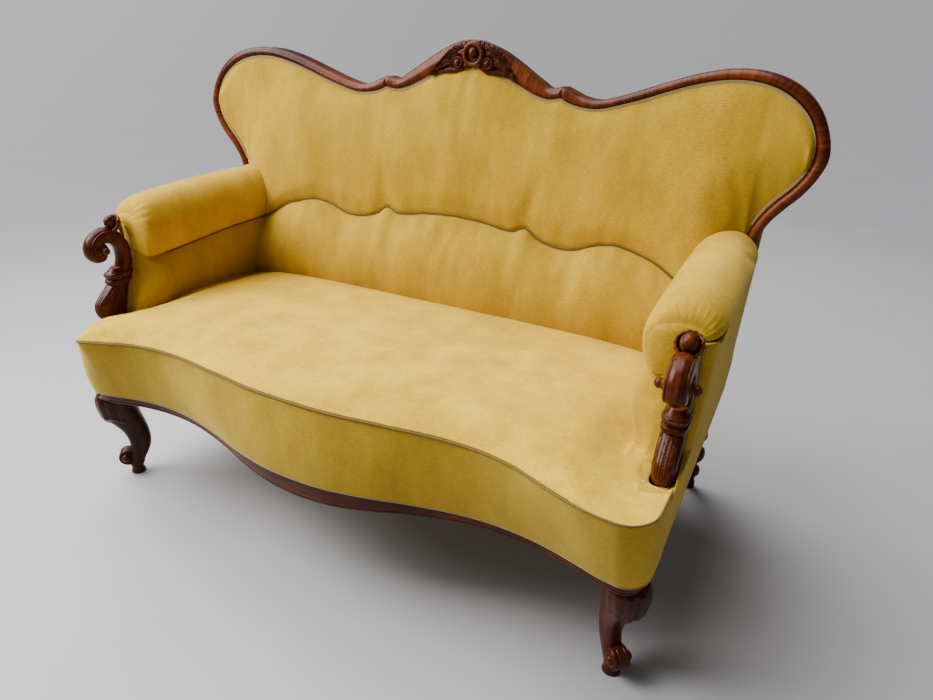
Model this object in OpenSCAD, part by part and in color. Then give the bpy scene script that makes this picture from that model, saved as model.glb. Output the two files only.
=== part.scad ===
/* [Overall] */
// Width of the back across its two side lobes
back_w = 1652; // [1560:2:1740]
// Height of the crest above the floor
overall_h = 1066; // [1030:2:1100]
// Depth from the front piping to the rearmost wood
overall_d = 846; // [810:2:890]

/* [Seat] */
// Width of the seat across the piping
seat_w = 1464; // [1420:2:1500]
// Height of the front piping above the floor
seat_h = 455; // [440:1:470]
// Rise of the seat's crown above the piping
seat_crown = 24; // [12:1:34]
// Fall of the seat from its crown to the back
seat_fall = 45; // [30:1:54]
// Depth of the wave in the front edge
seat_bow = 70; // [40:1:80]
// Thickness of the front border at its foot
border_t = 12; // [9:1:15]
// Draw of the slacker left front corner towards the arm
corner_draw = 56; // [0:2:60]

/* [Arms] */
// Height of the arm roll above the floor
arm_h = 720; // [705:1:735]
// Width of the arm roll
arm_w = 136; // [128:1:140]
// Height of the arm roll above its inner seam
roll_h = 133; // [126:1:140]
// Distance of the carved facing's middle from the piping's outer line
facing_inset = 25; // [23:1:28]
// Depth of the carved facing
facing_d = 120; // [112:1:124]
// Width of the carved facing across its neck
facing_w = 38; // [34:1:40]
// Angle by which the arms close in towards the back
arm_toe = 1.9; // [1.5:0.1:2.3]

/* [Back] */
// Depth of the moulded back frame
frame_d = 42; // [36:1:48]
// Height to which the moulding stands proud of the cover's edge
moulding = 9; // [5:1:12]
// Backward lean of the back for each unit of height
back_rake = 0.134; // [0.1:0.002:0.16]
// Forward sweep of the back at its outer lobes
back_sweep = 48; // [36:1:56]
// Height of the seam between the upper and the lower back pad, at its lowest wave
seam_z = 627; // [618:1:636]
// Height of the waves in that seam
seam_wave = 40; // [24:1:44]

/* [Frame] */
// Height of the seat rails' underside above the floor
leg_h = 250; // [236:1:262]
// Height of the seat rails
rail_h = 105; // [95:1:112]
// Thickness of the seat rails
rail_t = 32; // [27:1:36]
// Drop of the front rail at its middle
apron_drop = 26; // [14:1:34]
// Distance from the frontmost piping back to the front feet
feet_setback = 129; // [122:1:136]
// Half the distance between the front feet
feet_half = 672; // [662:1:680]

/* [Details] */
// Radius of the seat piping
piping_r = 2.4; // [1.8:0.1:2.6]
// Radius of the finer cords on seams and edges
cord_r = 1.7; // [1.2:0.1:1.9]
// Number of springs along the sofa
spring_columns = 6; // [4:2:6]
// Number of springs from front to back
spring_rows = 3; // [2:1:3]

/* [Hidden] */
$fn = 48;

// Clearance between pieces that seat on each other
fit = 0.3;
// Overrun of every cut
over = 5;
// Smallest thickness where a form runs out
feather = 0.5;

half_back = back_w / 2;
half_seat = seat_w / 2;
front = -overall_d / 2;
rear = overall_d / 2;
feet_y = front + feet_setback;
rail_top = leg_h + rail_h;

walnut = [0.30, 0.13, 0.07];
walnut_dark = [0.20, 0.08, 0.05];
beech = [0.78, 0.62, 0.42];
velvet = [0.74, 0.61, 0.27];
velvet_trim = [0.62, 0.50, 0.22];
linen = [0.72, 0.66, 0.52];
steel = [0.55, 0.52, 0.50];

// Sum of a list of numbers or points
function total(list) = [for (item = list) 1] * list;
function unit(v) = v / norm(v);
function lerp(a, b, t) = a + (b - a) * t;
function clamp(t) = min(1, max(0, t));
function ease(t) = let (s = clamp(t)) s * s * (3 - 2 * s);
function last(list) = list[len(list) - 1];
function flip(points) = [for (i = [len(points) - 1:-1:0]) points[i]];

// Smooth curve through a table of [place, value] rows
function step_of(table, x, i = 0) =
    i >= len(table) - 2 || x < table[i + 1][0] ? i : step_of(table, x, i + 1);
function slope_at(table, i) = let (a = table[max(0, i - 1)], b = table[min(len(table) - 1, i + 1)])
    (b[1] - a[1]) / (b[0] - a[0]);
function smooth(table, x) =
    let (
        i = step_of(table, x),
        gap = table[i + 1][0] - table[i][0],
        s = clamp((x - table[i][0]) / gap),
        s2 = s * s,
        s3 = s2 * s
    )
    table[i][1] * (2 * s3 - 3 * s2 + 1) + slope_at(table, i) * gap * (s3 - 2 * s2 + s)
    + table[i + 1][1] * (3 * s2 - 2 * s3) + slope_at(table, i + 1) * gap * (s3 - s2);

// Smooth line through points, each stretch cut into steps
function through(points, steps) =
    let (n = len(points))
    [for (i = [0:n - 2], k = [0:steps - 1])
        let (
            a = points[max(0, i - 1)], b = points[i], c = points[i + 1], d = points[min(n - 1, i + 2)],
            t = k / steps
        )
        b + (c - a) * t / 2 + (2 * a - 5 * b + 4 * c - d) * t * t / 2
        + (3 * b - a - 3 * c + d) * t * t * t / 2,
    last(points)];

// Closed solid through rings of equally many points; the faces are turned outwards
module skin(rings, fans = true) {
    m = len(rings);
    n = len(rings[0]);
    side = [for (j = [0:m - 2], i = [0:n - 1])
        let (a = j * n + i, b = j * n + (i + 1) % n)
        each [[a, b, a + n], [b, b + n, a + n]]];
    middles = [total(rings[0]) / n, total(last(rings)) / n];
    points = concat([for (ring = rings) each ring], fans ? middles : []);
    caps = fans
        ? [for (i = [0:n - 1]) each [
            [m * n, (i + 1) % n, i],
            [m * n + 1, (m - 1) * n + i, (m - 1) * n + (i + 1) % n]]]
        : [[for (i = [n - 1:-1:0]) i], [for (i = [0:n - 1]) (m - 1) * n + i]];
    faces = concat(side, caps);
    volume = total([for (f = side) cross(points[f[0]], points[f[1]]) * points[f[2]]])
        + total([for (i = [0:n - 1])
            cross(points[(i + 1) % n], points[i]) * middles[0]
            + cross(points[(m - 1) * n + i], points[(m - 1) * n + (i + 1) % n]) * middles[1]]);
    polyhedron(points, volume < 0 ? faces : [for (f = faces) flip(f)]);
}

// Round cord along a path, its rings square to the path
module cord(path, radius, sides = 5, up = [0, 0, 1]) {
    n = len(path);
    skin([for (i = [0:n - 1])
        let (
            along = unit(path[min(n - 1, i + 1)] - path[max(0, i - 1)]),
            across = unit(cross(along, up)),
            over_it = cross(across, along)
        )
        [for (k = [0:sides - 1])
            path[i] + radius * (cos(360 * k / sides) * across + sin(360 * k / sides) * over_it)]]);
}

module each_side(side) {
    if (side < 0) mirror([1, 0, 0]) children();
    else children();
}

// Front edge of the seat: places as shares of half the width, reach as shares of the wave
piping_shares = [
    [0, 0.53], [0.08, 0.55], [0.16, 0.6], [0.25, 0.73], [0.33, 0.83], [0.41, 0.94], [0.49, 0.99],
    [0.57, 0.96], [0.66, 0.78], [0.74, 0.46], [0.82, 0.17], [0.88, 0.04], [0.925, 0]
];
foot_shares = [
    [0, 0.31], [0.08, 0.34], [0.16, 0.46], [0.25, 0.67], [0.33, 0.91], [0.41, 1.11], [0.49, 1.27],
    [0.57, 1.35], [0.66, 1.33], [0.74, 1.21], [0.82, 1.01], [0.88, 0.84], [0.925, 0.77]
];
edge_places_share = [for (row = piping_shares) row[0]];
corner_share = 0.925;
corner_end_share = 0.975;
draw_full = 56;
foot_draw = corner_draw * 0.45;
corner_steps = 5;
piping_front = front + piping_r;
border_h = 172;
border_foot_z = seat_h - border_h;
foot_inset = 8;
side_lap = 8;
side_end = feet_y - side_lap;

// Plan of the seat's edge, from the middle to the side, drawn in by inset
function edge_plan(table, half_w, inset) =
    let (
        bend_x = corner_share * half_seat,
        bend_y = piping_front + seat_bow * last(table)[1],
        reach = half_w - bend_x,
        front_part = [for (s = edge_places_share)
            let (
                step = 0.01,
                here = [s * half_seat, seat_bow * smooth(table, s)],
                next = [(s + step) * half_seat, seat_bow * smooth(table, s + step)],
                along = s < corner_share ? unit(next - here) : [1, 0]
            )
            [here[0] - along[1] * inset, piping_front + here[1] + along[0] * inset]],
        corner = [for (k = [1:corner_steps])
            let (a = 90 * k / corner_steps)
            [bend_x + (reach - inset) * sin(a), bend_y + reach - (reach - inset) * cos(a)]]
    )
    concat(front_part, corner, [[half_w - inset, side_end]]);

// Stations of a plan's points, and how far each is drawn in at the left corner, across and back
stations_share = concat(edge_places_share,
    [for (k = [1:corner_steps]) lerp(corner_share, corner_end_share, k / corner_steps)], [1]);
draw_across_shares = [
    [0, 0], [0.74, 0], [0.82, 0.14], [0.88, 0.46], [0.925, 0.73], [0.945, 0.75], [0.965, 0.63], [0.975, 0.46],
    [1, 0.18]
];
draw_back_shares = [
    [0, 0], [0.74, 0], [0.82, 0.02], [0.88, 0.18], [0.925, 0.31], [0.945, 0.49], [0.965, 0.65], [0.975, 0.77],
    [1, 0.8]
];
function drawn_in(plan, draw) = [for (i = [0:len(plan) - 1])
    [
        plan[i][0] - draw * smooth(draw_across_shares, stations_share[i]),
        lerp(plan[i][1], side_end, draw / draw_full * smooth(draw_back_shares, stations_share[i]))
    ]];
function both_halves(plan, draw) =
    let (left = drawn_in(plan, draw))
    concat([for (i = [len(left) - 1:-1:1]) [-left[i][0], left[i][1]]], plan);

// Reach of a plan's front edge at a place along the sofa
function plan_at(plan, x) = lookup(abs(x), [for (i = [(len(plan) - 1) / 2:len(plan) - 2]) plan[i]]);

piping_plan = both_halves(edge_plan(piping_shares, half_seat, 0), corner_draw);
foot_plan = both_halves(edge_plan(foot_shares, half_seat - foot_inset, 0), foot_draw);
function rail_plan(inset) =
    both_halves(edge_plan(foot_shares, half_seat - foot_inset, border_t + inset), foot_draw);
rail_face_plan = rail_plan(fit);
rail_back_plan = rail_plan(fit + rail_t);
apron_lip_plan = rail_plan(fit + rail_t / 2);
apron_lip_inner = rail_plan(fit * 2 + rail_t / 2);
stuffing_plan = rail_plan(fit * 2 + rail_t);
apron_shares = [[0, 1], [0.16, 0.8], [0.33, 0.36], [0.49, 0.1], [0.66, 0.02], [1, 0]];
function apron_low(x) = leg_h - apron_drop * smooth(apron_shares, clamp(abs(x) / half_seat));

// Back surface on which the cover's edge lies
back_top_y = rear - frame_d;
function back_face(x, z) =
    back_top_y - back_rake * (overall_h - z) - back_sweep * pow(x / half_back, 2);

// Back frame: inner and outer edge, x as shares of the half width, z of the height above the arms
joint_drop = 30;
joint_z = arm_h - joint_drop;
back_rise = overall_h - joint_z;
crest_shares = [
    [0, 0.824, 0, 1], [0.029, 0.854, 0.029, 0.997], [0.051, 0.824, 0.058, 0.981],
    [0.075, 0.822, 0.09, 0.952], [0.109, 0.795, 0.122, 0.915], [0.145, 0.758, 0.156, 0.87],
    [0.182, 0.721, 0.19, 0.822], [0.218, 0.689, 0.223, 0.777], [0.257, 0.673, 0.252, 0.741],
    [0.293, 0.686, 0.295, 0.757]
];
lobe_shares = [
    [0.293, 0.686, 0.295, 0.757], [0.317, 0.662, 0.322, 0.734], [0.354, 0.644, 0.356, 0.705],
    [0.406, 0.641, 0.402, 0.694], [0.466, 0.673, 0.46, 0.723], [0.533, 0.718, 0.525, 0.771],
    [0.599, 0.769, 0.591, 0.822], [0.666, 0.814, 0.661, 0.87], [0.732, 0.843, 0.731, 0.902],
    [0.793, 0.846, 0.799, 0.907], [0.85, 0.822, 0.862, 0.88], [0.898, 0.771, 0.916, 0.824],
    [0.937, 0.694, 0.96, 0.734], [0.96, 0.598, 0.989, 0.62], [0.965, 0.505, 1, 0.505],
    [0.954, 0.412, 0.987, 0.404], [0.93, 0.332, 0.959, 0.301], [0.898, 0.253, 0.926, 0.218],
    [0.87, 0.165, 0.898, 0.138], [0.852, 0.074, 0.881, 0.059], [0.847, 0, 0.877, 0]
];
frame_steps = 2;
crest_line = through(crest_shares, frame_steps);
lobe_line = through(lobe_shares, frame_steps);
function share_point(xs, zs) = [xs * half_back, joint_z + zs * back_rise];
crest_inner = [for (p = crest_line) share_point(p[0], p[1])];
lobe_inner = [for (p = lobe_line) share_point(p[0], p[1])];
widest = 28;
lobe_top = [for (i = [0:widest]) lobe_inner[i]];
lobe_under = [for (i = [len(lobe_inner) - 1:-1:widest]) lobe_inner[i]];
inner_top = concat([for (i = [0:len(crest_inner) - 2]) crest_inner[i]], lobe_top);
function top_z(x) = lookup(abs(x), inner_top);
function under_z(x) = lookup(abs(x), lobe_under);

// Section of the moulding: share across the face, share of the proud height, on the rear or not
moulding_shares = [[0, 0, 0], [0.16, 0.62, 0], [0.42, 1, 0], [0.72, 0.8, 0], [0.93, 0.2, 0], [1, -0.5, 0]];
rear_in_share = 0.08;
rear_out_share = 0.86;
function frame_ring(p, mirrored) =
    let (
        a = share_point(p[0], p[1]),
        b = share_point(p[2], p[3]),
        way = mirrored ? -1 : 1,
        face = [for (s = moulding_shares)
            let (q = lerp(a, b, s[0]))
            [way * q[0], back_face(q[0], q[1]) - moulding * s[1], q[1]]],
        back = [for (s = [rear_out_share, rear_in_share])
            let (q = lerp(a, b, s))
            [way * q[0], back_face(q[0], q[1]) + frame_d, q[1]]]
    )
    concat(face, back);

// Central stretch of the back frame, from ear to ear
module crest_frame() {
    color(walnut)
    skin(concat(
        [for (i = [len(crest_line) - 1:-1:1]) frame_ring(crest_line[i], true)],
        [for (p = crest_line) frame_ring(p, false)]
    ));
}

// Side stretch of the back frame: the lobe from the ear down to the arm
module back_frame(side) {
    color(walnut)
    skin([for (p = lobe_line) frame_ring(p, side < 0)]);
}

// Carving on the crest: a ringed boss between two scroll eyes with long leaves
crest_face = (crest_shares[0][3] - crest_shares[0][1]) * back_rise;
boss_z = overall_h - crest_face * 0.5;
boss_r = crest_face * 0.272;
boss_wire_r = crest_face * 0.0755;
scroll_x = crest_face * 0.56;
scroll_z = overall_h - crest_face * 0.74;
scroll_r = crest_face * 0.136;
carving_base = crest_face * 0.106;
leaf_half_w_shares = [[0, 0.35], [0.25, 1], [0.6, 0.85], [0.9, 0.5], [1, 0.28]];
leaf_w = crest_face * 0.18;
leaf_t = crest_face * 0.09;
leaf_points_shares = [[0.1, 0.62], [0.3, 0.68], [0.56, 0.42], [0.82, 0.02], [1.0, -0.2], [1.06, -0.05]];
upper_leaf_shares = [[0.1, 0.72], [0.28, 0.86], [0.5, 0.64], [0.68, 0.4], [0.8, 0.22]];
leaf_reach = crest_face * 1.42;
leaf_rise = crest_face * 0.876;
leaf_foot_z = overall_h - crest_face * 1.027;

module leaf(shares, side) {
    line = through(shares, 3);
    n = len(line);
    rings = [for (i = [0:n - 1])
        let (
            here = line[i], a = line[max(0, i - 1)], b = line[min(n - 1, i + 1)],
            along = unit([(b[0] - a[0]) * leaf_reach, (b[1] - a[1]) * leaf_rise]),
            w = leaf_w / 2 * smooth(leaf_half_w_shares, i / (n - 1))
        )
        [for (s = [[-1, 0], [-0.55, 0.75], [0, 0.5], [0.55, 0.9], [1, 0]])
            let (
                x = here[0] * leaf_reach - along[1] * w * s[0],
                z = leaf_foot_z + here[1] * leaf_rise + along[0] * w * s[0]
            )
            [side * x, back_face(x, z) - moulding - fit - leaf_t * s[1], z]]];
    skin(rings);
}

// Disc with a rising ball in its middle, standing square on the raked back
module boss(x, z, radius, base, ball) {
    translate([x, back_face(x, z) - moulding - fit, z]) rotate([90 - atan(back_rake), 0, 0]) {
        cylinder(r = radius, h = base);
        intersection() {
            translate([0, 0, base / 2]) sphere(ball, $fn = 24);
            cylinder(r = radius, h = base + ball);
        }
        children();
    }
}
module crest_carving() {
    color(walnut_dark) {
        boss(0, boss_z, boss_r, carving_base, boss_r - boss_wire_r * 1.6)
            translate([0, 0, carving_base]) rotate_extrude()
                translate([boss_r - boss_wire_r, 0]) circle(boss_wire_r, $fn = 24);
        for (side = [-1, 1]) {
            boss(side * scroll_x, scroll_z, scroll_r, carving_base * 0.6, scroll_r * 0.8);
            leaf(leaf_points_shares, side);
            leaf(upper_leaf_shares, side);
        }
    }
}

// Front seat rail: a serpentine with a shaped lower edge, carried round both corners
module front_rail() {
    color(walnut)
    skin([for (i = [0:len(rail_face_plan) - 1])
        let (
            f = rail_face_plan[i], m = apron_lip_plan[i], b = rail_back_plan[i],
            low = apron_low(f[0]), round_in = lerp(f, m, 0.25)
        )
        [
            [f[0], f[1], low + rail_t * 0.12], [round_in[0], round_in[1], low], [m[0], m[1], low],
            [m[0], m[1], leg_h + feather], [b[0], b[1], leg_h + feather],
            [b[0], b[1], rail_top], [f[0], f[1], rail_top]
        ]], fans = false);
}

// Arm frame: origin below the facing's middle at the feet line, X outwards, Y towards the back
arm_x = half_seat - facing_inset;
module arm(side) {
    each_side(side) translate([arm_x, feet_y, 0]) rotate([0, 0, arm_toe]) children();
}
// Length along the arm at which it meets a world depth
function arm_y(world_y, x) = (world_y - feet_y - x * sin(arm_toe)) / cos(arm_toe);
function world_x(x, y) = arm_x + x * cos(arm_toe) - y * sin(arm_toe);

rail_out = half_seat - foot_inset - border_t - fit - arm_x;
rail_in = rail_out - rail_t;
post_w = 30;
post_d = 37;
rear_rail_back = 28;
rear_rail_y = rear - rear_rail_back - rail_t;
side_rail_end = arm_y(rear_rail_y - fit, rail_out);
rail_start = arm_y(side_end, rail_in) + fit;

module seat_rail(side) {
    color(beech)
    arm(side)
    translate([rail_in, rail_start, leg_h]) cube([rail_t, side_rail_end - rail_start, rail_h]);
}

rear_half = world_x(rail_out, side_rail_end);
module rear_seat_rail() {
    color(beech)
    translate([-rear_half, rear_rail_y, leg_h]) cube([2 * rear_half, rail_t, rail_h]);
}

// Cabriole front leg, turned out at the corner: height share, outward front, outward back, half width
leg_reach = 72;
leg_shares = [
    [1, 0.86, -0.58, 0.6], [0.955, 0.93, -0.54, 0.62], [0.87, 0.99, -0.5, 0.6],
    [0.78, 0.95, -0.53, 0.52], [0.7, 0.78, -0.58, 0.42], [0.62, 0.46, -0.65, 0.33],
    [0.54, 0.2, -0.71, 0.28], [0.46, 0.07, -0.74, 0.25], [0.38, 0.02, -0.73, 0.24],
    [0.31, 0.03, -0.67, 0.24], [0.24, 0.1, -0.56, 0.24], [0.17, 0.18, -0.42, 0.23], [0.11, 0.2, -0.34, 0.22]
];
leg_sides = 12;
scroll_foot_share = [0.27, 0.225];
scroll_foot_r = 20;
scroll_foot_w = 44;
scroll_eye_r = 9;
pad_r = 18;
pad_h = 32;
pad_back_share = 0.06;
dowel_r = 10;
dowel_h = 42;
dowel_back_share = 0.3;
leg_square = 2.6;

module front_leg(side) {
    color(walnut)
    each_side(side)
    translate([feet_half, feet_y, 0]) rotate([0, 0, -45]) {
        skin([for (s = leg_shares)
            let (
                mid = (s[1] + s[2]) / 2 * leg_reach,
                half = (s[1] - s[2]) / 2 * leg_reach,
                w = s[3] * leg_reach
            )
            [for (k = [0:leg_sides - 1])
                let (
                    c = cos(360 * (k + 0.5) / leg_sides), t = sin(360 * (k + 0.5) / leg_sides),
                    m = pow(pow(abs(c), leg_square) + pow(abs(t), leg_square), 1 / leg_square)
                )
                [mid + half * c / m, w * t / m, s[0] * (leg_h - fit)]]]);
        translate([scroll_foot_share[0] * leg_reach, 0, scroll_foot_share[1] * leg_h]) rotate([90, 0, 0]) {
            translate([0, 0, -scroll_foot_w / 2]) cylinder(r = scroll_foot_r, h = scroll_foot_w);
            for (z = [-scroll_foot_w / 2, scroll_foot_w / 2])
                translate([0, 0, z]) sphere(scroll_eye_r, $fn = 24);
        }
        translate([-pad_back_share * leg_reach, 0, 0]) cylinder(r = pad_r, h = pad_h);
        translate([-dowel_back_share * leg_reach, 0, leg_h - dowel_h / 2]) cylinder(r = dowel_r, h = dowel_h);
    }
}

// Turned rear leg: a square head over a ring, a ball and a toe, raked back
rear_leg_x = 648;
rear_leg_head = 68;
rear_head_h = 56;
rear_rake = 8.5;
rear_turn_r = 33;
rear_turn_shares = [
    [0.42, 0.02], [0.5, 0.08], [0.56, 0.15], [0.46, 0.19], [0.55, 0.25], [0.82, 0.32], [0.92, 0.42],
    [0.84, 0.52], [0.56, 0.59], [0.5, 0.63], [0.84, 0.68], [1, 0.75], [0.84, 0.82], [0.52, 0.87],
    [0.62, 0.93], [0.62, 1.02]
];
rear_leg_top_y = rear_rail_y + rail_t - rear_leg_head / 2;
rear_dowel_x = world_x(rail_in, side_rail_end) - dowel_r * 1.5;
rear_dowel_y = rear_rail_y - dowel_r * 1.5;

module rear_leg(side) {
    drop = leg_h - rear_head_h;
    color(walnut)
    each_side(side) translate([rear_leg_x, rear_leg_top_y, 0]) {
        translate([-rear_leg_head / 2, -rear_leg_head / 2, drop])
            cube([rear_leg_head, rear_leg_head, rear_head_h - fit]);
        translate([rear_dowel_x - rear_leg_x, rear_dowel_y - rear_leg_top_y, leg_h - dowel_h / 2])
            cylinder(r = dowel_r, h = dowel_h);
        intersection() {
            translate([0, 0, drop]) rotate([rear_rake, 0, 0]) translate([0, 0, -drop])
                rotate_extrude() polygon(concat(
                    [[0, -over]],
                    [[rear_turn_shares[0][0] * rear_turn_r, -over]],
                    [for (p = through(rear_turn_shares, 3)) [p[0] * rear_turn_r, p[1] * drop]],
                    [[0, last(rear_turn_shares)[1] * drop]]
                ));
            translate([-rear_turn_r * 2, -rear_turn_r * 2, 0])
                cube([rear_turn_r * 4, rear_turn_r * 5, leg_h]);
        }
    }
}

// Blocks in the four corners, bored for the legs' dowels
block_size = 84;
block_h = 62;
bore_clear = 0.25;
front_dowel_x = feet_half - dowel_back_share * leg_reach * cos(45);
front_dowel_y = feet_y + dowel_back_share * leg_reach * sin(45);
block_out = world_x(rail_in, block_size) - fit * 2;

module corner_block(x, y, bore_x, bore_y, deep) {
    difference() {
        translate([x - block_size, y, leg_h]) cube([block_size, deep, block_h]);
        translate([bore_x, bore_y, leg_h - over]) cylinder(r = dowel_r + bore_clear, h = dowel_h);
    }
}
module corner_blocks() {
    color(beech)
    for (side = [-1, 1]) each_side(side) {
        corner_block(block_out, front_dowel_y - block_size * 0.2, front_dowel_x, front_dowel_y, block_size);
        corner_block(world_x(rail_in, side_rail_end) - fit, rear_rail_y - block_size - fit,
            rear_dowel_x, rear_dowel_y, block_size);
    }
}

cross_w = 44;
cross_h = 34;
module seat_cross_rail() {
    start = plan_at(rail_back_plan, cross_w / 2) + fit;
    color(beech)
    translate([-cross_w / 2, start, leg_h]) cube([cross_w, rear_rail_y - fit - start, cross_h]);
}

// Upright behind each arm, leaning out from the seat rail to the back frame
post_step = 48;
post_top_x = last(lobe_shares)[0] * half_back - moulding;
post_low_x = world_x(rail_in, side_rail_end);
post_top = joint_z - fit;
function post_in(z) = lerp(post_low_x, post_top_x, (z - rail_top) / (post_top - rail_top));
function post_ring(x, y, z) =
    [for (c = [[0, 0], [1, 0], [1, 1], [0, 1]]) [x + post_w * c[0], y + post_d * c[1], z]];
module back_post(side) {
    color(beech)
    each_side(side)
    skin([
        post_ring(post_low_x, back_face(post_top_x, rail_top) + post_step, rail_top + fit),
        post_ring(post_top_x, back_face(post_top_x, post_top), post_top)
    ], fans = false);
}

// Bowed rail at the foot of the back, between the posts
pad_back = 12;
slat_gap = 3;
lower_rail_h = 48;
lower_rail_t = 26;
lower_rail_drop = 18;
lower_rail_z = seat_h - lower_rail_drop;
bow_steps = 12;
module lower_back_rail() {
    half = post_in(lower_rail_z) - fit;
    color(beech)
    skin([for (i = [0:bow_steps])
        let (x = lerp(-half, half, i / bow_steps))
        [for (c = [[0, 0], [lower_rail_t, 0], [lower_rail_t, lower_rail_h], [0, lower_rail_h]])
            [x, back_face(x, lower_rail_z + c[1]) + pad_back + slat_gap + c[0], lower_rail_z + c[1]]]
    ], fans = false);
}

// Two upright slats behind the padding, from the lower rail to the crest
slat_w = 46;
slat_t = 20;
slat_x = 230;
module back_slats() {
    low = lower_rail_z + lower_rail_h + fit;
    high = min([for (k = [-1:0.5:1]) top_z(slat_x + slat_w / 2 * k)]) - edge_gap * 3;
    y_low = back_face(slat_x, low) + pad_back + slat_gap;
    y_high = back_face(slat_x, high) + pad_back + slat_gap;
    color(beech)
    for (side = [-1, 1])
        translate([side * slat_x - slat_w / 2, 0, 0]) rotate([90, 0, 90]) linear_extrude(slat_w)
            polygon([[y_low, low], [y_low + slat_t, low], [y_high + slat_t, high], [y_high, high]]);
}

// Carved arm facing: height share, front and rear as shares of its depth, half width share
facing_sink = 30;
facing_drop = 52;
facing_low = seat_h - facing_sink;
facing_top = arm_h - facing_drop;
facing_h = facing_top - facing_low;
facing_shares = [
    [0, 0.33, 0.72, 0.86], [0.03, 0.23, 0.76, 0.98], [0.085, 0.17, 0.8, 1.08], [0.15, 0.145, 0.835, 1.12],
    [0.21, 0.145, 0.875, 1.12], [0.27, 0.18, 0.92, 1.12], [0.32, 0.26, 0.955, 1.1], [0.36, 0.38, 0.985, 1.06],
    [0.383, 0.47, 1.0, 1.03], [0.39, 0.45, 1.03, 1.2], [0.425, 0.44, 1.05, 1.22], [0.437, 0.5, 1.05, 1.08],
    [0.45, 0.5, 1.06, 1.08], [0.46, 0.47, 1.09, 1.2], [0.497, 0.48, 1.1, 1.2], [0.51, 0.57, 1.09, 1.04],
    [0.55, 0.7, 1.13, 0.98], [0.62, 0.77, 1.15, 0.95], [0.7, 0.81, 1.16, 0.95], [0.78, 0.8, 1.15, 0.95],
    [0.86, 0.76, 1.12, 0.95], [0.93, 0.7, 1.08, 0.96], [1, 0.7, 1.05, 0.9]
];
flute_top = 8;
facing_flute = 1.8;
flute_shares = [0, 0, 0, -0.4, 0.6, -1, 0.35, -1, 0.6, -0.4, 0, 0];
facing_square = 2.8;
volute_share = [0.5, 0.76];
volute_r = 33;
volute_w = 40;
volute_eye_r = 9;
volute_rim_r = 20;
volute_rim = 3;
shell_share = [0.86, 1.03];
shell_ball_r = 12;
shell_r = 17;
shell_lip_r = 4.2;
shell_tilt = 25;

module arm_facing(side) {
    n = 20;
    color(walnut_dark)
    arm(side) {
        skin([for (j = [0:len(facing_shares) - 1])
            let (
                s = facing_shares[j],
                mid = (s[1] + s[2]) / 2 * facing_d,
                half = (s[2] - s[1]) / 2 * facing_d,
                w = s[3] * facing_w / 2,
                z = facing_low + s[0] * facing_h
            )
            [for (k = [0:n - 1])
                let (
                    a = 360 * (k + 0.5) / n,
                    c = cos(a), t = sin(a),
                    m = pow(pow(abs(c), facing_square) + pow(abs(t), facing_square), 1 / facing_square),
                    front_k = k - n / 2 + 1,
                    groove = j > 0 && j < flute_top && front_k >= 0 && front_k < 12
                        ? facing_flute * flute_shares[front_k] : 0
                )
                [w * c / m, mid + half * t / m - groove, z]]]);
        translate([0, volute_share[0] * facing_d, facing_low + volute_share[1] * facing_h])
        rotate([0, 90, 0]) {
            translate([0, 0, -volute_w / 2]) cylinder(r = volute_r, h = volute_w);
            translate([0, 0, -volute_w / 2 - volute_rim])
                cylinder(r = volute_rim_r, h = volute_w + volute_rim * 2);
            for (x = [-volute_w / 2 - volute_rim, volute_w / 2 + volute_rim])
                translate([0, 0, x]) sphere(volute_eye_r, $fn = 24);
        }
        translate([0, shell_share[0] * facing_d, facing_low + shell_share[1] * facing_h])
        rotate([90 - shell_tilt, 0, 0]) {
            translate([0, 0, -shell_lip_r]) cylinder(r = shell_r, h = shell_lip_r * 2);
            translate([0, 0, shell_lip_r])
                rotate_extrude()
                    translate([shell_r, 0])
                        circle(shell_lip_r, $fn = 24);
            translate([0, 0, shell_lip_r]) sphere(shell_ball_r, $fn = 32);
        }
        translate([-volute_w / 2 * 0.9, volute_share[0] * facing_d, facing_low + facing_h * 0.86])
            cube([volute_w * 0.9, facing_d * 0.42, facing_h * 0.125]);
    }
}

// Rear edge of the facing at a height
facing_back_table = [for (s = facing_shares) [s[0], s[2]]];
function facing_back(z) = facing_d * lookup((z - facing_low) / facing_h, facing_back_table);

// Upright behind the facing, shaped to its back
stump_w = 27;
stump_in = -13;
facing_deepest = facing_d * 1.16;
stump_depth = 40;
stump_back = facing_deepest + stump_depth;
arm_rail_h = 22;
roll_z = arm_h - roll_h;
arm_rail_z = roll_z - arm_rail_h - fit * 2;
module arm_stump(side) {
    high = arm_rail_z - fit;
    levels = [for (s = facing_shares) facing_low + s[0] * facing_h];
    heights = concat([for (z = levels) if (z < high) z], [high]);
    color(beech)
    arm(side)
    translate([stump_in, 0, 0]) rotate([90, 0, 90]) linear_extrude(stump_w)
        polygon(concat(
            [[facing_back(facing_low) + fit * 2, rail_top + fit]],
            [for (z = heights) [facing_back(z) + fit * 2, z]],
            [[stump_back, high], [stump_back, rail_top + fit]]
        ));
}

// Arm rail under the roll, from the facing's back to the post
cover_front = facing_deepest + cord_r * 2 + fit * 3;
arm_rail_w = 36;
module arm_rail(side) {
    end = arm_y(back_face(post_in(arm_rail_z), arm_rail_z) - fit, stump_in + arm_rail_w);
    color(beech)
    arm(side)
    translate([stump_in, cover_front, arm_rail_z]) cube([arm_rail_w, end - cover_front, arm_rail_h]);
}

// Lower rail to which the arm's inner cover is tacked
tack_drop = 20;
tack_z = seat_h - tack_drop;
tack_h = 26;
tack_t = 22;
module tacking_rail(side) {
    end = arm_y(back_face(post_in(tack_z), tack_z) + slat_gap, 0);
    color(beech)
    arm(side)
    translate([stump_in, stump_back + fit, tack_z]) cube([tack_t, end - stump_back, tack_h]);
}

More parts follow.
